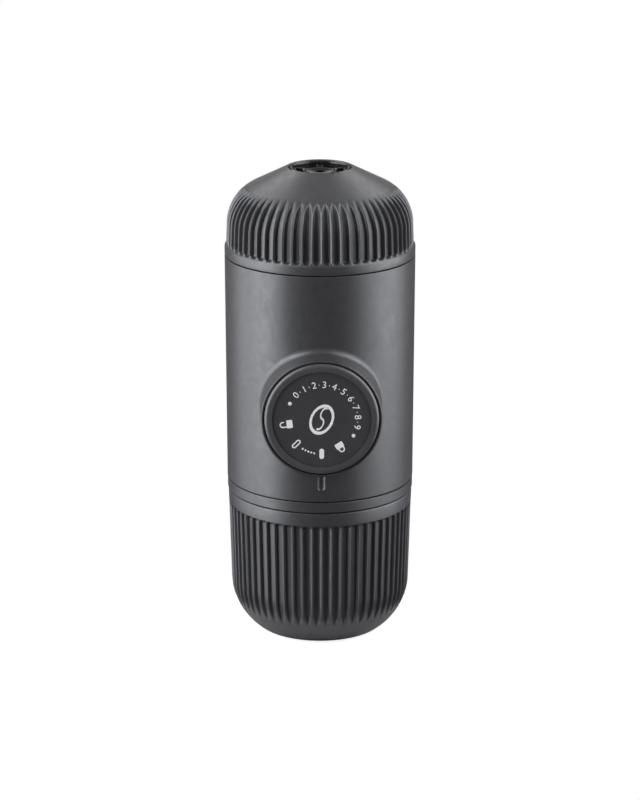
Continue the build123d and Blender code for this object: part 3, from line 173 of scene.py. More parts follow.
def stretched(nodes, links, source, span):
    """The source, turned into a share from 0 at the span's start to 1 at its end."""
    node = nodes.new("ShaderNodeMapRange")
    node.inputs["From Min"].default_value, node.inputs["From Max"].default_value = span
    links.new(source, node.inputs["Value"])
    return node.outputs["Result"]


def white_world():
    world = bpy.data.worlds.new("studio")
    world.use_nodes = True
    nodes, links = world.node_tree.nodes, world.node_tree.links
    nodes.clear()
    way = nodes.new("ShaderNodeTexCoord")
    parts = nodes.new("ShaderNodeSeparateXYZ")
    links.new(way.outputs["Generated"], parts.inputs[0])
    paper = math_node(nodes, links, "MULTIPLY", stretched(nodes, links, parts.outputs["Y"], PAPER_SIDE),
                      stretched(nodes, links, parts.outputs["Z"], PAPER_FOOT))
    path = nodes.new("ShaderNodeLightPath")
    mirrored = math_node(nodes, links, "MULTIPLY", path.outputs["Is Glossy Ray"], paper)
    direct = math_node(nodes, links, "ADD", path.outputs["Is Camera Ray"],
                       path.outputs["Is Transmission Ray"])
    seen = math_node(nodes, links, "ADD", direct, mirrored, clamp=True)
    light = nodes.new("ShaderNodeBackground")
    light.inputs["Color"].default_value = (1, 1, 1, 1)
    light.inputs["Strength"].default_value = WORLD_LIGHT
    white = nodes.new("ShaderNodeBackground")
    white.inputs["Color"].default_value = (1, 1, 1, 1)
    white.inputs["Strength"].default_value = BACKDROP
    mix = nodes.new("ShaderNodeMixShader")
    out = nodes.new("ShaderNodeOutputWorld")
    links.new(seen, mix.inputs[0])
    links.new(light.outputs[0], mix.inputs[1])
    links.new(white.outputs[0], mix.inputs[2])
    links.new(mix.outputs[0], out.inputs["Surface"])
    scene.world = world


white_world()
print("world light", WORLD_LIGHT, "and white backdrop", BACKDROP)

# %% [markdown]
# ## The table
# The maker stands on a round, pale table that catches its shadow. The table adds enough light of its own
# to the camera's rays to come near the white behind it. Mirrored rays see that added light fade towards
# the middle: a painted shadow in the table's glow, where the maker would shade it.

# %% Table
TABLE_R = 36 * MM
TABLE_GAP = 0.05 * MM          # the tabletop lies this much below the cup's base
TABLE_COLOUR = (0.60, 0.60, 0.60, 1)
TABLE_LIFT = 0.75
PAINTED_SHADOW_R = (30 * MM, 60 * MM)   # painted shadow in the table's mirrored glow: it starts at the first radius, full at the second


def pale_table():
    shape = bmesh.new()
    bmesh.ops.create_circle(shape, cap_ends=True, segments=96, radius=TABLE_R,
                            matrix=Matrix.Translation((0, 0, -TABLE_GAP)))
    mesh = bpy.data.meshes.new("table")
    shape.to_mesh(mesh)
    shape.free()
    material = bpy.data.materials.new("table_paper")
    material.use_nodes = True
    nodes, links = material.node_tree.nodes, material.node_tree.links
    shader = nodes["Principled BSDF"]
    shader.inputs["Base Color"].default_value = TABLE_COLOUR
    shader.inputs["Roughness"].default_value = 0.9
    shader.inputs["Specular IOR Level"].default_value = 0.0
    place = nodes.new("ShaderNodeTexCoord")
    reach = nodes.new("ShaderNodeVectorMath")
    reach.operation = "LENGTH"
    links.new(place.outputs["Object"], reach.inputs[0])
    path = nodes.new("ShaderNodeLightPath")
    # painted shadow: the glow that mirrors see fades towards the maker's foot
    mirrored = math_node(nodes, links, "MULTIPLY", path.outputs["Is Glossy Ray"],
                         stretched(nodes, links, reach.outputs["Value"], PAINTED_SHADOW_R))
    direct = math_node(nodes, links, "ADD", path.outputs["Is Camera Ray"],
                       path.outputs["Is Transmission Ray"])
    seen = math_node(nodes, links, "ADD", direct, mirrored, clamp=True)
    lift = nodes.new("ShaderNodeEmission")
    links.new(math_node(nodes, links, "MULTIPLY", seen, TABLE_LIFT), lift.inputs["Strength"])
    add = nodes.new("ShaderNodeAddShader")
    links.new(shader.outputs[0], add.inputs[0])
    links.new(lift.outputs[0], add.inputs[1])
    links.new(add.outputs[0], nodes["Material Output"].inputs["Surface"])
    mesh.materials.append(material)
    table = bpy.data.objects.new("table", mesh)
    scene.collection.objects.link(table)
    print("table radius", TABLE_R)


pale_table()

# %% [markdown]
# ## Finishes
# Moulded plastic is never one flat colour. Each finish here is built from the same few nodes: a slow
# mottle that shifts the colour a little, a finer one that varies the roughness, and a bump for the grain
# of the mould. All of them read Object coordinates, so the grain has its real size in millimetres on
# every piece.

# %% A recipe for solid finishes
def noise_on(nodes, links, grain_size, detail):
    """A noise whose lumps measure about grain_size, fixed to the piece itself."""
    place = nodes.new("ShaderNodeTexCoord")
    noise = nodes.new("ShaderNodeTexNoise")
    noise.inputs["Scale"].default_value = 1 / grain_size
    noise.inputs["Detail"].default_value = detail
    links.new(place.outputs["Object"], noise.inputs["Vector"])
    return noise.outputs["Fac"]


NOISE_RANGE = (0.3, 0.7)        # where nearly all values of a noise lie


def ranged(nodes, links, source, low, high):
    """The source, stretched so that its usual range runs from low to high."""
    stretch = nodes.new("ShaderNodeMapRange")
    stretch.inputs["From Min"].default_value, stretch.inputs["From Max"].default_value = NOISE_RANGE
    stretch.inputs["To Min"].default_value = low
    stretch.inputs["To Max"].default_value = high
    links.new(source, stretch.inputs["Value"])
    return stretch.outputs["Result"]


def solid_finish(name, colour, roughness, mottle=0.08, mottle_size=6 * MM, grain_size=0.3 * MM,
                 grain_depth=0.01 * MM, metallic=0.0, rough_spread=0.05, ior=1.5, sheen_tint=(1, 1, 1, 1)):
    """A moulded, drawn or rubbery finish: mottled colour, uneven roughness and a fine grain."""
    material = bpy.data.materials.new(name)
    material.use_nodes = True
    nodes, links = material.node_tree.nodes, material.node_tree.links
    shader = nodes["Principled BSDF"]
    shader.inputs["Metallic"].default_value = metallic
    shader.inputs["IOR"].default_value = ior
    shader.inputs["Specular Tint"].default_value = sheen_tint
    blend = nodes.new("ShaderNodeMix")
    blend.data_type = "RGBA"
    blend.inputs["A"].default_value = [value * (1 - mottle) for value in colour] + [1]
    blend.inputs["B"].default_value = [value * (1 + mottle) for value in colour] + [1]
    links.new(ranged(nodes, links, noise_on(nodes, links, mottle_size, 3), 0, 1), blend.inputs["Factor"])
    links.new(blend.outputs["Result"], shader.inputs["Base Color"])
    fine = noise_on(nodes, links, grain_size, 2)
    rough = ranged(nodes, links, noise_on(nodes, links, mottle_size / 3, 2), roughness - rough_spread,
                   roughness + rough_spread)
    links.new(rough, shader.inputs["Roughness"])
    bump = nodes.new("ShaderNodeBump")
    bump.inputs["Strength"].default_value = 1.0
    bump.inputs["Distance"].default_value = grain_depth
    links.new(fine, bump.inputs["Height"])
    links.new(bump.outputs["Normal"], shader.inputs["Normal"])
    return material


# %% [markdown]
# ## The finishes of this maker
# The outside is charcoal plastic with a spark-eroded grain, and the knob's cap is a little lighter. Its
# IOR is set above a real plastic's, which makes the bands of sheen on it stronger. The dial has less
# sheen, so it looks darker, and the spout is glossy black. Inside there is glass-filled plastic, natural
# white plastic that slides, stainless sheet, spring wire, bright screws, grey silicone and black rubber.
# The tank is smoke-tinted, but it is made opaque here.

# %% Finishes by slot
COOL_SHEEN = (0.93, 0.95, 1.0, 1)
FINISHES = {
    "charcoal_plastic": solid_finish("charcoal_plastic", (0.034, 0.034, 0.038), 0.42, ior=1.75,
                                     sheen_tint=COOL_SHEEN),
    "knob_plastic": solid_finish("knob_plastic", (0.060, 0.060, 0.065), 0.40, ior=1.75,
                                 sheen_tint=COOL_SHEEN),
    "dial_black": solid_finish("dial_black", (0.047, 0.047, 0.052), 0.42, grain_depth=0.004 * MM),
    "white_print": solid_finish("white_print", (0.92, 0.92, 0.93), 0.5, mottle=0.02,
                                grain_depth=0.003 * MM),
    "black_plastic": solid_finish("black_plastic", (0.012, 0.012, 0.013), 0.14, grain_depth=0.002 * MM),
    "core_plastic": solid_finish("core_plastic", (0.035, 0.035, 0.038), 0.55, grain_size=0.5 * MM),
    "stem_plastic": solid_finish("stem_plastic", (0.66, 0.65, 0.60), 0.32, mottle=0.03,
                                 grain_depth=0.004 * MM),
    "tank_plastic": solid_finish("tank_plastic", (0.060, 0.064, 0.072), 0.18, grain_depth=0.003 * MM),
    "stainless": solid_finish("stainless", (0.62, 0.61, 0.60), 0.30, metallic=1.0, grain_depth=0.004 * MM),
    "screw_steel": solid_finish("screw_steel", (0.56, 0.57, 0.58), 0.26, metallic=1.0,
                                grain_depth=0.003 * MM),
    "spring_steel": solid_finish("spring_steel", (0.58, 0.57, 0.55), 0.22, metallic=1.0,
                                 grain_depth=0.002 * MM),
    "silicone": solid_finish("silicone", (0.45, 0.45, 0.44), 0.45, mottle=0.04),
    "seal_rubber": solid_finish("seal_rubber", (0.020, 0.020, 0.020), 0.5),
}
SLOT_OF = {entry["node"]: entry["material_slot"] for entry in frame["record"]["subparts"]}
OWN_FINISH = {"knob_cap": "knob_plastic"}


def dress(thing, finish):
    thing.data.materials.clear()
    thing.data.materials.append(FINISHES[finish])


for name, node in frame["nodes"].items():
    dress(node, OWN_FINISH.get(name, SLOT_OF[name]))
print("finishes:", len(FINISHES), "on", len(SLOT_OF), "pieces")

# %% [markdown]
# ## Turning a drawn line into a shell
# The cup and the head are turned shapes, so each starts as a line drawn in the X-Z plane: straight runs
# are made by extruding a point, round ones by spinning it. Spinning that line about the axis makes the
# wall.

# %% Drawing and turning helpers
WELD = 0.002 * MM


def line_to(shape, point, radius, height, steps=1):
    """Extrudes a straight run, in equal steps, and returns its last point."""
    move = (Vector((radius, 0, height)) - point.co) / steps
    for _ in range(steps):
        point = bmesh.ops.extrude_vert_indiv(shape, verts=[point])["verts"][0]
        bmesh.ops.translate(shape, verts=[point], vec=move)
    return point


def arc_on(shape, point, centre, sweep, steps):
    """Spins a round run about a centre (radius, height), returns its last point; up from +X is positive."""
    spun = bmesh.ops.spin(shape, geom=[point], cent=(centre[0], 0, centre[1]), axis=(0, -1, 0),
                          angle=radians(sweep), steps=steps)
    return [part for part in spun["geom_last"] if isinstance(part, bmesh.types.BMVert)][0]


def turn(shape, angle, steps, start=0.0):
    """Spins every drawn line about the main axis, from a start angle."""
    bmesh.ops.rotate(shape, verts=shape.verts, cent=(0, 0, 0), matrix=Matrix.Rotation(start, 3, "Z"))
    bmesh.ops.spin(shape, geom=shape.verts[:] + shape.edges[:], cent=(0, 0, 0), axis=(0, 0, 1), angle=angle,
                   steps=steps, use_merge=angle >= 2 * pi)


def repeat_round(shape, count):
    """Turns a sector half its width on and copies it so that it closes the circle."""
    bmesh.ops.rotate(shape, verts=shape.verts, cent=(0, 0, 0), matrix=Matrix.Rotation(pi / count, 3, "Z"))
    bmesh.ops.spin(shape, geom=shape.verts[:] + shape.edges[:] + shape.faces[:], cent=(0, 0, 0),
                   axis=(0, 0, 1), angle=2 * pi * (count - 1) / count, steps=count - 1, use_duplicate=True)


def join_in(shape, other):
    """Adds another bmesh to this one."""
    mesh = bpy.data.meshes.new("passing")
    other.to_mesh(mesh)
    other.free()
    shape.from_mesh(mesh)
    bpy.data.meshes.remove(mesh)


SHARP_ANGLE = 40


def closed_piece(name, shape, slot, weld=WELD):
    """Closes the seams, turns the faces outwards and makes the bmesh a dressed object."""
    bmesh.ops.remove_doubles(shape, verts=shape.verts, dist=weld)
    bmesh.ops.recalc_face_normals(shape, faces=shape.faces)
    mesh = bpy.data.meshes.new(name)
    shape.to_mesh(mesh)
    shape.free()
    mesh.shade_smooth()
    piece = bpy.data.objects.new(name, mesh)
    scene.collection.objects.link(piece)
    dress(piece, slot)
    print(name, "faces:", len(mesh.polygons))
    return piece


def make_piece(name, shape, body, slot, weld=WELD):
    """A closed piece with sharp edges kept sharp, riding on a body."""
    piece = closed_piece(name, shape, slot, weld)
    piece.data.set_sharp_from_angle(angle=radians(SHARP_ANGLE))
    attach(piece, body)
    return piece


# %% [markdown]
# ## The ribs
# Both ribbed pieces carry sixty slim ribs with round backs and wide, flat valleys between them. A cut for
# every valley would need a boolean; a displacement does it with plain points. One valley's share of the
# wall is turned as a narrow sector, its points are pressed in along the wall's normal, and the sector is
# copied round. Towards a valley's end the ribs on both sides grow wider and close it, so that it ends in
# a round or pointed tongue. The columns of points are drawn together where the rib's flank is steepest.

# %% One valley between two ribs
RIB_COUNT = 60
VALLEY_COLUMNS = 16
RIB_BACK_R = 0.48 * MM
RIB_FOOT = 0.40 * MM
FOOT_SHARE = 0.30               # of the rib's height that its hollow foot takes
CROWDING = 0.65                 # how much the columns are drawn to the flank
FLANK_LIMITS = (0.05, 0.95)     # the flank's share of the half pitch stays between these
PITCH_ANGLE = 2 * pi / RIB_COUNT


def rib_height(aside, back, depth):
    """The rib's height above the valley at a distance aside its middle; back is half its width."""
    foot = depth * FOOT_SHARE
    if aside < back:
        return foot + (depth - foot) * sqrt(1 - (aside / back) ** 2)
    if aside < back + RIB_FOOT:
        left = (back + RIB_FOOT - aside) / RIB_FOOT
        return foot * (1 - sqrt(max(1 - left ** 2, 0)))
    return 0


def round_end(along, corner):
    """How far a valley is closed near its end: 1 at the end and 0 past the corner's radius."""
    inside = 1 - min(max(along / corner, 0), 1)
    return 1 - sqrt(1 - inside ** 2)


def crowded(share, flank):
    """Moves a column's share of the half pitch towards the flank's share."""
    off = share - flank
    room = flank if off < 0 else 1 - flank
    return flank + off * (1 - CROWDING + CROWDING * (off / room) ** 2)


def press_valley(shape, valley_at, outward_at):
    """Presses a sector that is centred on the X axis; valley_at gives the local depth and closing."""
    for point in shape.verts:
        radius = hypot(point.co.x, point.co.y)
        depth, closing = valley_at(radius, point.co.z)
        if depth <= 0:
            continue
        half = PITCH_ANGLE / 2 * radius
        back = RIB_BACK_R + (half - RIB_BACK_R) * closing
        turned = atan2(point.co.y, point.co.x)
        flank = min(max(1 - back / half, FLANK_LIMITS[0]), FLANK_LIMITS[1])
        share = crowded(abs(turned) / (PITCH_ANGLE / 2), flank)
        turned = (1 if turned > 0 else -1) * share * PITCH_ANGLE / 2
        out = outward_at(radius, point.co.z)
        cut = depth - rib_height(half * (1 - share), back, depth)
        point.co = (cos(turned) * (radius - out[0] * cut), sin(turned) * (radius - out[0] * cut),
                    point.co.z - out[1] * cut)


print("ribs:", RIB_COUNT, "with a pitch of", round(PITCH_ANGLE * 180 / pi, 2), "degrees")

# %% [markdown]
# ## The drinking cup
# The cup has a wide round corner below, a slightly leaning wall and a smooth rim band above the ribs. The
# valleys end bluntly under that band and run out softly on the round corner.

# %% Drinking cup
CUP_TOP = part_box("drinking_cup")[1].z
CUP_RIM_R = 30.4 * MM
CUP_LOW_R = 29.55 * MM
CUP_CORNER_Z = 16.0 * MM
CUP_CORNER_R = 20.2 * MM
CUP_WALL = 2.2 * MM
CUP_RIM_ROUND = 0.5 * MM
CUP_BAND = 4.5 * MM             # the smooth rim above the ribs
CUP_VALLEY_TOP = CUP_TOP - CUP_BAND
CUP_VALLEY_BOTTOM = 7.5 * MM
CUP_VALLEY_END = 1.2 * MM
CUP_VALLEY_DEPTH = 1.05 * MM
CUP_END_HASTE = 1.8             # how much sooner than evenly the valley reaches its depth
CUP_FINE_BELOW = 1.4 * MM       # finer steps from here below the valleys' top ends
CUP_FINE_ABOVE = 0.2 * MM       # to here above them
CUP_LEAN = atan2(CUP_RIM_R - CUP_LOW_R, CUP_TOP - CUP_CORNER_Z)
CUP_CORNER = (CUP_LOW_R - CUP_CORNER_R * cos(CUP_LEAN), CUP_CORNER_Z + CUP_CORNER_R * sin(CUP_LEAN))


def cup_wall_r(height, inset=0.0):
    return CUP_LOW_R + (height - CUP_CORNER_Z) * sin(CUP_LEAN) / cos(CUP_LEAN) - inset / cos(CUP_LEAN)


def cup_valley(radius, height):
    """Depth and closing of a valley: a blunt round end above, a long run-out on the round corner below."""
    if height > CUP_CORNER_Z:
        end = round_end(CUP_VALLEY_TOP - height, CUP_VALLEY_END)
        return (CUP_VALLEY_DEPTH * (1 - end) if height < CUP_VALLEY_TOP else 0, end)
    run_out = max((height - CUP_VALLEY_BOTTOM) / (CUP_CORNER_Z - CUP_VALLEY_BOTTOM), 0)
    return CUP_VALLEY_DEPTH * sin(pi / 2 * min(CUP_END_HASTE * run_out, 1)), (1 - run_out) ** 4


def cup_outward(radius, height):
    if height > CUP_CORNER_Z:
        return (cos(CUP_LEAN), -sin(CUP_LEAN))
    way = Vector((radius - CUP_CORNER[0], height - CUP_CORNER[1])).normalized()
    return (way.x, way.y)


def cup_corner_arc(shape, point, inset, floor, down, steps):
    """The round corner, drawn up from the floor or down to it."""
    radius = CUP_CORNER_R - inset
    low = acos((CUP_CORNER[1] - floor) / radius)
    sweep = pi / 2 - low - CUP_LEAN
    return arc_on(shape, point, CUP_CORNER, (-1 if down else 1) * sweep * 180 / pi, steps)


def cup_corner_foot(inset, floor):
    return CUP_CORNER[0] + sqrt((CUP_CORNER_R - inset) ** 2 - (CUP_CORNER[1] - floor) ** 2)


def make_cup():
    outside = bmesh.new()
    point = outside.verts.new((0, 0, 0))
    point = line_to(outside, point, cup_corner_foot(0, 0), 0, 3)
    point = cup_corner_arc(outside, point, 0, 0, False, 30)
    fine_low = CUP_VALLEY_TOP - CUP_FINE_BELOW
    fine_high = CUP_VALLEY_TOP + CUP_FINE_ABOVE
    point = line_to(outside, point, cup_wall_r(fine_low), fine_low, 3)
    point = line_to(outside, point, cup_wall_r(fine_high), fine_high, 8)
    point = line_to(outside, point, cup_wall_r(CUP_TOP - CUP_RIM_ROUND), CUP_TOP - CUP_RIM_ROUND)
    rim = (cup_wall_r(CUP_TOP - CUP_RIM_ROUND) - CUP_RIM_ROUND, CUP_TOP - CUP_RIM_ROUND)
    point = arc_on(outside, point, rim, 90, 6)
    turn(outside, PITCH_ANGLE, VALLEY_COLUMNS, -PITCH_ANGLE / 2)
    press_valley(outside, cup_valley, cup_outward)
    repeat_round(outside, RIB_COUNT)
    inside = bmesh.new()
    point = inside.verts.new((rim[0], 0, CUP_TOP))
    point = line_to(inside, point, cup_wall_r(CUP_TOP, CUP_WALL) + CUP_RIM_ROUND, CUP_TOP)
    point = line_to(inside, point, cup_wall_r(CUP_TOP - CUP_RIM_ROUND, CUP_WALL), CUP_TOP - CUP_RIM_ROUND)
    low = (CUP_CORNER[0] + (CUP_CORNER_R - CUP_WALL) * cos(CUP_LEAN),
           CUP_CORNER[1] - (CUP_CORNER_R - CUP_WALL) * sin(CUP_LEAN))
    point = line_to(inside, point, low[0], low[1], 2)
    point = cup_corner_arc(inside, point, CUP_WALL, CUP_WALL, True, 14)
    line_to(inside, point, 0, CUP_WALL, 3)
    turn(inside, 2 * pi, RIB_COUNT * VALLEY_COLUMNS, -PITCH_ANGLE / 2)
    join_in(outside, inside)
    piece = make_piece("ribbed_cup", outside, "drinking_cup", "charcoal_plastic")
    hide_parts("drinking_cup")
    return piece


make_cup()

# %% [markdown]
# ## The ribbed head
# The outlet head is the same idea turned over: a smooth band to grip, a small step down to the ribs, a
# round shoulder on which the valleys run out in points, and a smooth cone up to the mouth. The mouth's
# lip has one small notch.

# %% Outlet head
HEAD_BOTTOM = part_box("head_shell")[0].z
HEAD_HEIGHT = 28.8 * MM          # up to where the cone would meet the mouth's edge unrounded
HEAD_TOP = HEAD_BOTTOM + HEAD_HEIGHT
HEAD_BAND_R = 30.99 * MM
HEAD_BAND_TOP = HEAD_BOTTOM + 2.5 * MM
HEAD_RIB_R = 30.4 * MM
HEAD_RIB_BOTTOM = HEAD_BAND_TOP + 1.4 * MM
HEAD_VALLEY_BOTTOM = HEAD_RIB_BOTTOM - 0.6 * MM
HEAD_SHOULDER_R = 14.0 * MM
HEAD_SHOULDER_DROP = 18.74 * MM
HEAD_LEAN_IN = 0.2 * MM
HEAD_SHOULDER = (HEAD_RIB_R - HEAD_LEAN_IN - HEAD_SHOULDER_R, HEAD_TOP - HEAD_SHOULDER_DROP)
HEAD_WALL = 2.2 * MM
HEAD_EDGE_ROUND = 0.25 * MM
MOUTH_R = 10.1 * MM
MOUTH_ROUND = 0.5 * MM
HEAD_VALLEY_END = 1.2 * MM
HEAD_VALLEY_DEPTH = 1.3 * MM
FADE_START = radians(36)
FADE_END = radians(58)
STEP_POINTS = 6
NOTCH_AT = radians(-63)
NOTCH_HALF = radians(10)
NOTCH_DEPTH = 0.5 * MM
NOTCH_REACH = MOUTH_R + 1.0 * MM
NOTCH_BAND = 1.1 * MM           # only points this near the top are sunk


def cone_slope():
    run_in = HEAD_SHOULDER[0] - MOUTH_R
    rise = HEAD_TOP - HEAD_SHOULDER[1]
    return acos(HEAD_SHOULDER_R / hypot(run_in, rise)) - atan2(run_in, rise)


CONE = cone_slope()


def head_valley(radius, height):
    """Depth and closing of a valley: a round tongue below, a pointed run-out on the shoulder."""
    if height <= HEAD_SHOULDER[1]:
        end = round_end(height - HEAD_VALLEY_BOTTOM, HEAD_VALLEY_END)
        return (HEAD_VALLEY_DEPTH * (1 - end) if height > HEAD_VALLEY_BOTTOM else 0, end)
    up = atan2(height - HEAD_SHOULDER[1], radius - HEAD_SHOULDER[0])
    fade = min(max(up - FADE_START, 0) / (FADE_END - FADE_START), 1)
    return HEAD_VALLEY_DEPTH * (1 - fade ** 1.6), fade ** 2


def head_outward(radius, height):
    if height <= HEAD_SHOULDER[1]:
        return (1, 0)
    way = Vector((radius - HEAD_SHOULDER[0], height - HEAD_SHOULDER[1])).normalized()
    return (way.x, way.y)


def press_notch(shape):
    """Sinks the mouth's lip at one place, most at its middle."""
    for point in shape.verts:
        aside = abs(atan2(point.co.y, point.co.x) - NOTCH_AT)
        if aside < NOTCH_HALF and point.co.z > HEAD_TOP - NOTCH_BAND and point.co.xy.length < NOTCH_REACH:
            point.co.z -= NOTCH_DEPTH * sqrt(1 - (aside / NOTCH_HALF) ** 4)


def make_head():
    outside = bmesh.new()
    point = outside.verts.new((HEAD_BAND_R - HEAD_EDGE_ROUND, 0, HEAD_BOTTOM))
    edge = (HEAD_BAND_R - HEAD_EDGE_ROUND, HEAD_BOTTOM + HEAD_EDGE_ROUND)
    point = arc_on(outside, point, edge, 90, 4)
    point = line_to(outside, point, HEAD_BAND_R, HEAD_BAND_TOP)
    for step in range(1, STEP_POINTS + 1):
        share = step / STEP_POINTS
        ease = share * share * (3 - 2 * share)
        point = line_to(outside, point, HEAD_BAND_R + (HEAD_RIB_R - HEAD_BAND_R) * ease,
                        HEAD_BAND_TOP + (HEAD_RIB_BOTTOM - HEAD_BAND_TOP) * share)
    start = HEAD_RIB_BOTTOM + 1.2 * MM
    point = line_to(outside, point, HEAD_RIB_R, start, 7)
    shoulder_foot = HEAD_SHOULDER[0] + HEAD_SHOULDER_R
    point = line_to(outside, point, shoulder_foot, HEAD_SHOULDER[1], 2)
    point = arc_on(outside, point, HEAD_SHOULDER, 90 - CONE * 180 / pi, 28)
    mouth = (MOUTH_R + MOUTH_ROUND, HEAD_TOP - MOUTH_ROUND * (sin(CONE) + 1) / cos(CONE))
    lip = (mouth[0] + MOUTH_ROUND * sin(CONE), mouth[1] + MOUTH_ROUND * cos(CONE))
    point = line_to(outside, point, lip[0] + 1.2 * MM, lip[1] - 1.2 * MM * sin(CONE) / cos(CONE), 4)
    point = line_to(outside, point, lip[0], lip[1], 3)
    point = arc_on(outside, point, mouth, 90 + CONE * 180 / pi, 8)
    turn(outside, PITCH_ANGLE, VALLEY_COLUMNS, -PITCH_ANGLE / 2)
    press_valley(outside, head_valley, head_outward)
    repeat_round(outside, RIB_COUNT)
    inside = bmesh.new()
    point = inside.verts.new((MOUTH_R, 0, mouth[1]))
    point = line_to(inside, point, MOUTH_R, HEAD_TOP - HEAD_WALL / cos(CONE), 2)
    bore = HEAD_SHOULDER_R - HEAD_WALL
    point = line_to(inside, point, HEAD_SHOULDER[0] + bore * sin(CONE),
                    HEAD_SHOULDER[1] + bore * cos(CONE), 2)
    point = arc_on(inside, point, HEAD_SHOULDER, CONE * 180 / pi - 90, 12)
    point = line_to(inside, point, HEAD_SHOULDER[0] + bore, HEAD_BOTTOM, 2)
    line_to(inside, point, HEAD_BAND_R - HEAD_EDGE_ROUND, HEAD_BOTTOM)
    turn(inside, 2 * pi, RIB_COUNT * VALLEY_COLUMNS, -PITCH_ANGLE / 2)
    join_in(outside, inside)
    press_notch(outside)
    piece = make_piece("ribbed_head", outside, "outlet_head", "charcoal_plastic")
    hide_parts("head_shell")
    return piece


make_head()

# %% [markdown]
# ## The spout
# In the head's mouth sits a glossy black spout: a round wall, and six webs that hold a nozzle in its
# middle. As a moulding it has no sharp corner, so its face is a fine disc whose points sink between the
# webs, and everything else is one line turned about the axis: the wall's round rim, the flange below, and
# the nozzle's bore.

# %% Spout
SPOUT_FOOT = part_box("spout")[0].z
SPOUT_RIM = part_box("spout")[1].z
SPOUT_R = 9.95 * MM
SPOUT_WALL = 1.1 * MM
SPOUT_FLANGE_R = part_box("spout")[1].x
SPOUT_FLANGE = 1.3 * MM
NOZZLE_R = 4.6 * MM
NOZZLE_BORE_R = 1.3 * MM
NOZZLE_SINK = 0.7 * MM          # of the nozzle's mouth below the webs' tops
TUBE_ROOM_R = 3.55 * MM         # for the head's outlet tube
TUBE_ROOM = 2.85 * MM
WEB_COUNT = 6
WEB_WIDTH = 1.3 * MM
WEB_DROP = 1.1 * MM             # of the webs' tops below the rim
POCKET_DEPTH = 4.2 * MM
POCKET_EASE = 0.45 * MM
SPOUT_STEPS = 144
FACE_RINGS = 42


def face_height(radius, angle):
    """Height of the spout's face: level on the webs, deep in the pockets between, dished at the nozzle."""
    web_pitch = 2 * pi / WEB_COUNT
    from_web = (angle - web_pitch / 2) % web_pitch
    from_web = min(from_web, web_pitch - from_web)
    room = (radius * sin(from_web) - WEB_WIDTH / 2, radius - NOZZLE_R, SPOUT_R - SPOUT_WALL - radius)
    level = SPOUT_RIM - WEB_DROP
    if min(room) > 0:
        share = min(1 / sum(1 / gap for gap in room) / POCKET_EASE, 1)
        return level - POCKET_DEPTH * share * share * (3 - 2 * share)
    return level - NOZZLE_SINK * max(1 - radius / NOZZLE_R, 0) ** 2


def make_spout():
    level = SPOUT_RIM - WEB_DROP
    inner = SPOUT_R - SPOUT_WALL
    face = bmesh.new()
    point = face.verts.new((NOZZLE_BORE_R, 0, level))
    line_to(face, point, inner, level, FACE_RINGS)
    turn(face, 2 * pi, SPOUT_STEPS)
    for point in face.verts:
        point.co.z = face_height(point.co.xy.length, atan2(point.co.y, point.co.x))
    coat = bmesh.new()
    mouth = face_height(NOZZLE_BORE_R, 0)
    point = coat.verts.new((inner, 0, level))
    point = line_to(coat, point, inner, SPOUT_RIM - SPOUT_WALL / 2)
    point = arc_on(coat, point, (SPOUT_R - SPOUT_WALL / 2, SPOUT_RIM - SPOUT_WALL / 2), -180, 10)
    point = line_to(coat, point, SPOUT_R, SPOUT_FOOT + SPOUT_FLANGE, 2)
    point = line_to(coat, point, SPOUT_FLANGE_R, SPOUT_FOOT + SPOUT_FLANGE)
    point = line_to(coat, point, SPOUT_FLANGE_R, SPOUT_FOOT)
    point = line_to(coat, point, TUBE_ROOM_R, SPOUT_FOOT, 2)
    point = line_to(coat, point, TUBE_ROOM_R, SPOUT_FOOT + TUBE_ROOM)
    point = line_to(coat, point, NOZZLE_BORE_R, SPOUT_FOOT + TUBE_ROOM)
    line_to(coat, point, NOZZLE_BORE_R, mouth, 2)
    turn(coat, 2 * pi, SPOUT_STEPS)
    join_in(face, coat)
    piece = make_piece("petal_spout", face, "outlet_head", "black_plastic")
    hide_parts("spout")
    return piece


make_spout()

# %% [markdown]
# ## The pump's spring
# The long spring pushes the piston out. It is made again as wire in the solid's place: a small ring
# is spun about the pump's axis while it also moves along it, which makes a helix.

# %% Return spring
SPRING_COILS = 14
SPRING_STEPS = 24
SPRING_LOW, SPRING_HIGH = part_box("return_spring")
WIRE_R = 0.5 * MM
WIRE_SIDES = 10


def make_spring():
    shape = bmesh.new()
    middle = (SPRING_LOW + SPRING_HIGH) / 2
    coil_r = (SPRING_HIGH.x - SPRING_LOW.x) / 2 - WIRE_R
    start = Vector((middle.x + coil_r, SPRING_LOW.y + WIRE_R, middle.z))
    lay = Matrix.Translation(start)
    bmesh.ops.create_circle(shape, cap_ends=True, segments=WIRE_SIDES, radius=WIRE_R, matrix=lay)
    rise = (SPRING_HIGH.y - SPRING_LOW.y - 2 * WIRE_R) / (SPRING_COILS * SPRING_STEPS)
    bmesh.ops.spin(shape, geom=shape.faces[:], cent=(middle.x, 0, middle.z), axis=(0, 1, 0),
                   dvec=(0, rise, 0), angle=2 * pi * SPRING_COILS, steps=SPRING_COILS * SPRING_STEPS)
    piece = closed_piece("pump_spring", shape, "spring_steel")
    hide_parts("return_spring")
    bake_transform(piece)
    return piece


make_spring()

# %% [markdown]
# ## The dial's prints
# The marks that tell where the knob locks are white pad prints a few hundredths of a millimetre thick.
# Plain numbers run round the upper side, and a closed and an open padlock stand by the two ends of the
# turn. They are flat shapes laid on the dial's face.

# %% Flat prints
DIAL_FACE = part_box("dial_plate")[0].y
DIAL_MIDDLE = (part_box("dial_plate")[0].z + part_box("dial_plate")[1].z) / 2
PRINT_THICK = 0.05 * MM


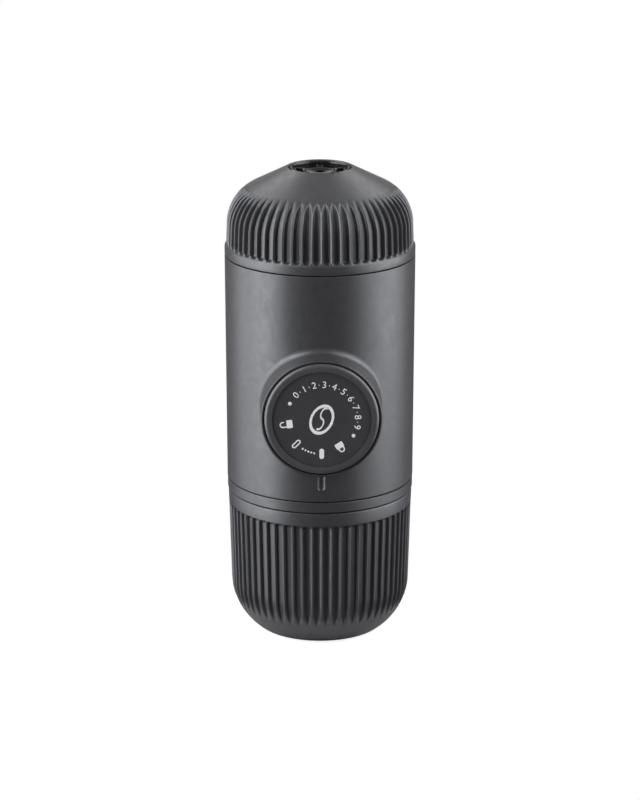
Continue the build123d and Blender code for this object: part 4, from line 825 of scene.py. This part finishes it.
def print_on_dial(name, shape):
    """Lays a flat shape drawn in X-Y on the dial's face and gives it the print's thickness."""
    body = bmesh.ops.extrude_face_region(shape, geom=shape.faces[:])
    raised = [part for part in body["geom"] if isinstance(part, bmesh.types.BMVert)]
    bmesh.ops.translate(shape, verts=raised, vec=(0, 0, PRINT_THICK))
    lay = Matrix.Translation((0, DIAL_FACE, DIAL_MIDDLE)) @ Matrix.Rotation(pi / 2, 4, "X")
    bmesh.ops.transform(shape, matrix=lay, verts=shape.verts)
    return make_piece(name, shape, "knob", "white_print", weld=0.0001 * MM)


def at_clock(degrees, radius):
    """A place on the dial: degrees clockwise from the top, with the shape's own top facing outwards."""
    return Matrix.Rotation(-radians(degrees), 4, "Z") @ Matrix.Translation((0, radius, 0))


# %% [markdown]
# ## Numbers round the dial
# A text object gives each figure its outline in the built-in typeface. It is made a mesh before it is
# placed, so the finished print keeps no text object behind it. A small dot stands between each two
# figures.

# %% Numbers round the dial
NUMBER_RING_R = 11.4 * MM
NUMBER_HEIGHT = 2.2 * MM
FIRST_NUMBER_AT = -45
NUMBER_STEP = 16.4
NUMBER_COUNT = 10
TICK_R = 0.16 * MM


def flat_number(text):
    """A figure of the built-in typeface as a flat mesh, centred on the origin."""
    curve = bpy.data.curves.new("figure", "FONT")
    curve.body = text
    curve.size = NUMBER_HEIGHT * 1.4
    curve.align_x = "CENTER"
    curve.align_y = "CENTER"
    curve.resolution_u = 4
    figure = bpy.data.objects.new("figure", curve)
    scene.collection.objects.link(figure)
    bpy.context.view_layer.update()
    mesh = bpy.data.meshes.new_from_object(figure.evaluated_get(bpy.context.evaluated_depsgraph_get()))
    bpy.data.objects.remove(figure)
    bpy.data.curves.remove(curve)
    return mesh


def make_numbers():
    shape = bmesh.new()
    for step in range(NUMBER_COUNT):
        mesh = flat_number(str(step))
        mesh.transform(at_clock(FIRST_NUMBER_AT + step * NUMBER_STEP, NUMBER_RING_R))
        shape.from_mesh(mesh)
        bpy.data.meshes.remove(mesh)
        if step + 1 < NUMBER_COUNT:
            between = at_clock(FIRST_NUMBER_AT + (step + 0.5) * NUMBER_STEP, NUMBER_RING_R)
            bmesh.ops.create_circle(shape, cap_ends=True, segments=12, radius=TICK_R, matrix=between)
    return print_on_dial("dial_numbers", shape)


make_numbers()

# %% [markdown]
# ## Padlocks and a bean
# Two shapes are enough for the signs: a band of even width along an arc, and a plate with rounded
# corners. A padlock is a plate with a bow on two legs; when it is open the bow is up and one leg hangs
# free. The bean is an oval band with an S through it.

# %% Ribbons and plates
RIBBON = 0.42 * MM


def ribbon_arc(shape, centre, radius, width, start, sweep, steps=16):
    """A flat band along an arc: a short line across it is spun about the arc's centre."""
    ends = []
    for side in (-width / 2, width / 2):
        offset = Matrix.Rotation(radians(start), 3, "Z") @ Vector((radius + side, 0, 0))
        ends.append(shape.verts.new(Vector((centre[0], centre[1], 0)) + offset))
    edge = shape.edges.new(ends)
    bmesh.ops.spin(shape, geom=ends + [edge], cent=(centre[0], centre[1], 0), axis=(0, 0, 1),
                   angle=radians(sweep), steps=steps)


def rounded_plate(shape, middle, width, height, corner):
    """A flat plate with rounded corners."""
    grid = bmesh.ops.create_grid(shape, x_segments=1, y_segments=1, size=0.5)
    points = grid["verts"]
    bmesh.ops.scale(shape, vec=(width, height, 1), verts=points)
    bmesh.ops.translate(shape, vec=(middle[0], middle[1], 0), verts=points)
    bmesh.ops.bevel(shape, geom=points, offset=corner, affect="VERTICES", segments=4, profile=0.5,
                    material=-1)


# %% Padlocks
LOCK_WIDTH = 2.7 * MM
LOCK_HEIGHT = 1.9 * MM
LOCK_CORNER = 0.3 * MM
LOCK_DROP = 0.6 * MM            # of the body below the sign's own middle
LEG_CORNER = 0.02 * MM
LOCK_RING_R = 10.9 * MM
CLOSED_AT = 147
OPEN_AT = 262
BOW_R = 0.82 * MM
BOW_RISE = 0.45 * MM            # of the bow's round part above the body
OPEN_LIFT = 0.75 * MM


def padlock(opened):
    """A padlock sign: a body and a bow on two legs; when open the bow is up and one leg is free."""
    shape = bmesh.new()
    top = LOCK_HEIGHT / 2 - LOCK_DROP
    rounded_plate(shape, (0, top - LOCK_HEIGHT / 2), LOCK_WIDTH, LOCK_HEIGHT, LOCK_CORNER)
    bow = top + BOW_RISE + (OPEN_LIFT if opened else 0)
    ribbon_arc(shape, (0, bow), BOW_R, RIBBON, 0, 180)
    for side in (-1, 1):
        foot = top + (OPEN_LIFT if opened and side == 1 else 0)
        rounded_plate(shape, (side * BOW_R, (bow + foot) / 2), RIBBON, bow - foot, LEG_CORNER)
    return shape


def make_lock_signs():
    shape = bmesh.new()
    for opened, clock in ((False, CLOSED_AT), (True, OPEN_AT)):
        sign = padlock(opened)
        bmesh.ops.transform(sign, matrix=at_clock(clock, LOCK_RING_R), verts=sign.verts)
        join_in(shape, sign)
    return print_on_dial("lock_signs", shape)


make_lock_signs()

# %% Bean
BEAN_WIDTH = 6.6 * MM
BEAN_HEIGHT = 9.4 * MM
BEAN_LINE = 0.75 * MM
BEAN_TILT = radians(-24)
SEAM_R = BEAN_HEIGHT * 0.20
SEAM_LINE = BEAN_LINE * 0.9
SEAM_NARROW = 0.55              # the S is drawn with round bows and then made this much narrower


def make_bean_sign():
    """A coffee bean in outline: an oval band with an S through it."""
    shape = bmesh.new()
    ribbon_arc(shape, (0, 0), BEAN_WIDTH / 2, BEAN_LINE, 0, 360, 64)
    stretch = BEAN_HEIGHT / BEAN_WIDTH
    bmesh.ops.scale(shape, vec=(1, stretch, 1), verts=shape.verts)
    half = bmesh.new()
    ribbon_arc(half, (0, BEAN_HEIGHT * 0.23), SEAM_R, SEAM_LINE, 75, 195, 20)
    ribbon_arc(half, (0, -BEAN_HEIGHT * 0.17), SEAM_R, SEAM_LINE, 90, -195, 20)
    bmesh.ops.scale(half, vec=(SEAM_NARROW, 1, 1), verts=half.verts)
    join_in(shape, half)
    bmesh.ops.rotate(shape, verts=shape.verts, cent=(0, 0, 0), matrix=Matrix.Rotation(BEAN_TILT, 3, "Z"))
    return print_on_dial("bean_sign", shape)


make_bean_sign()
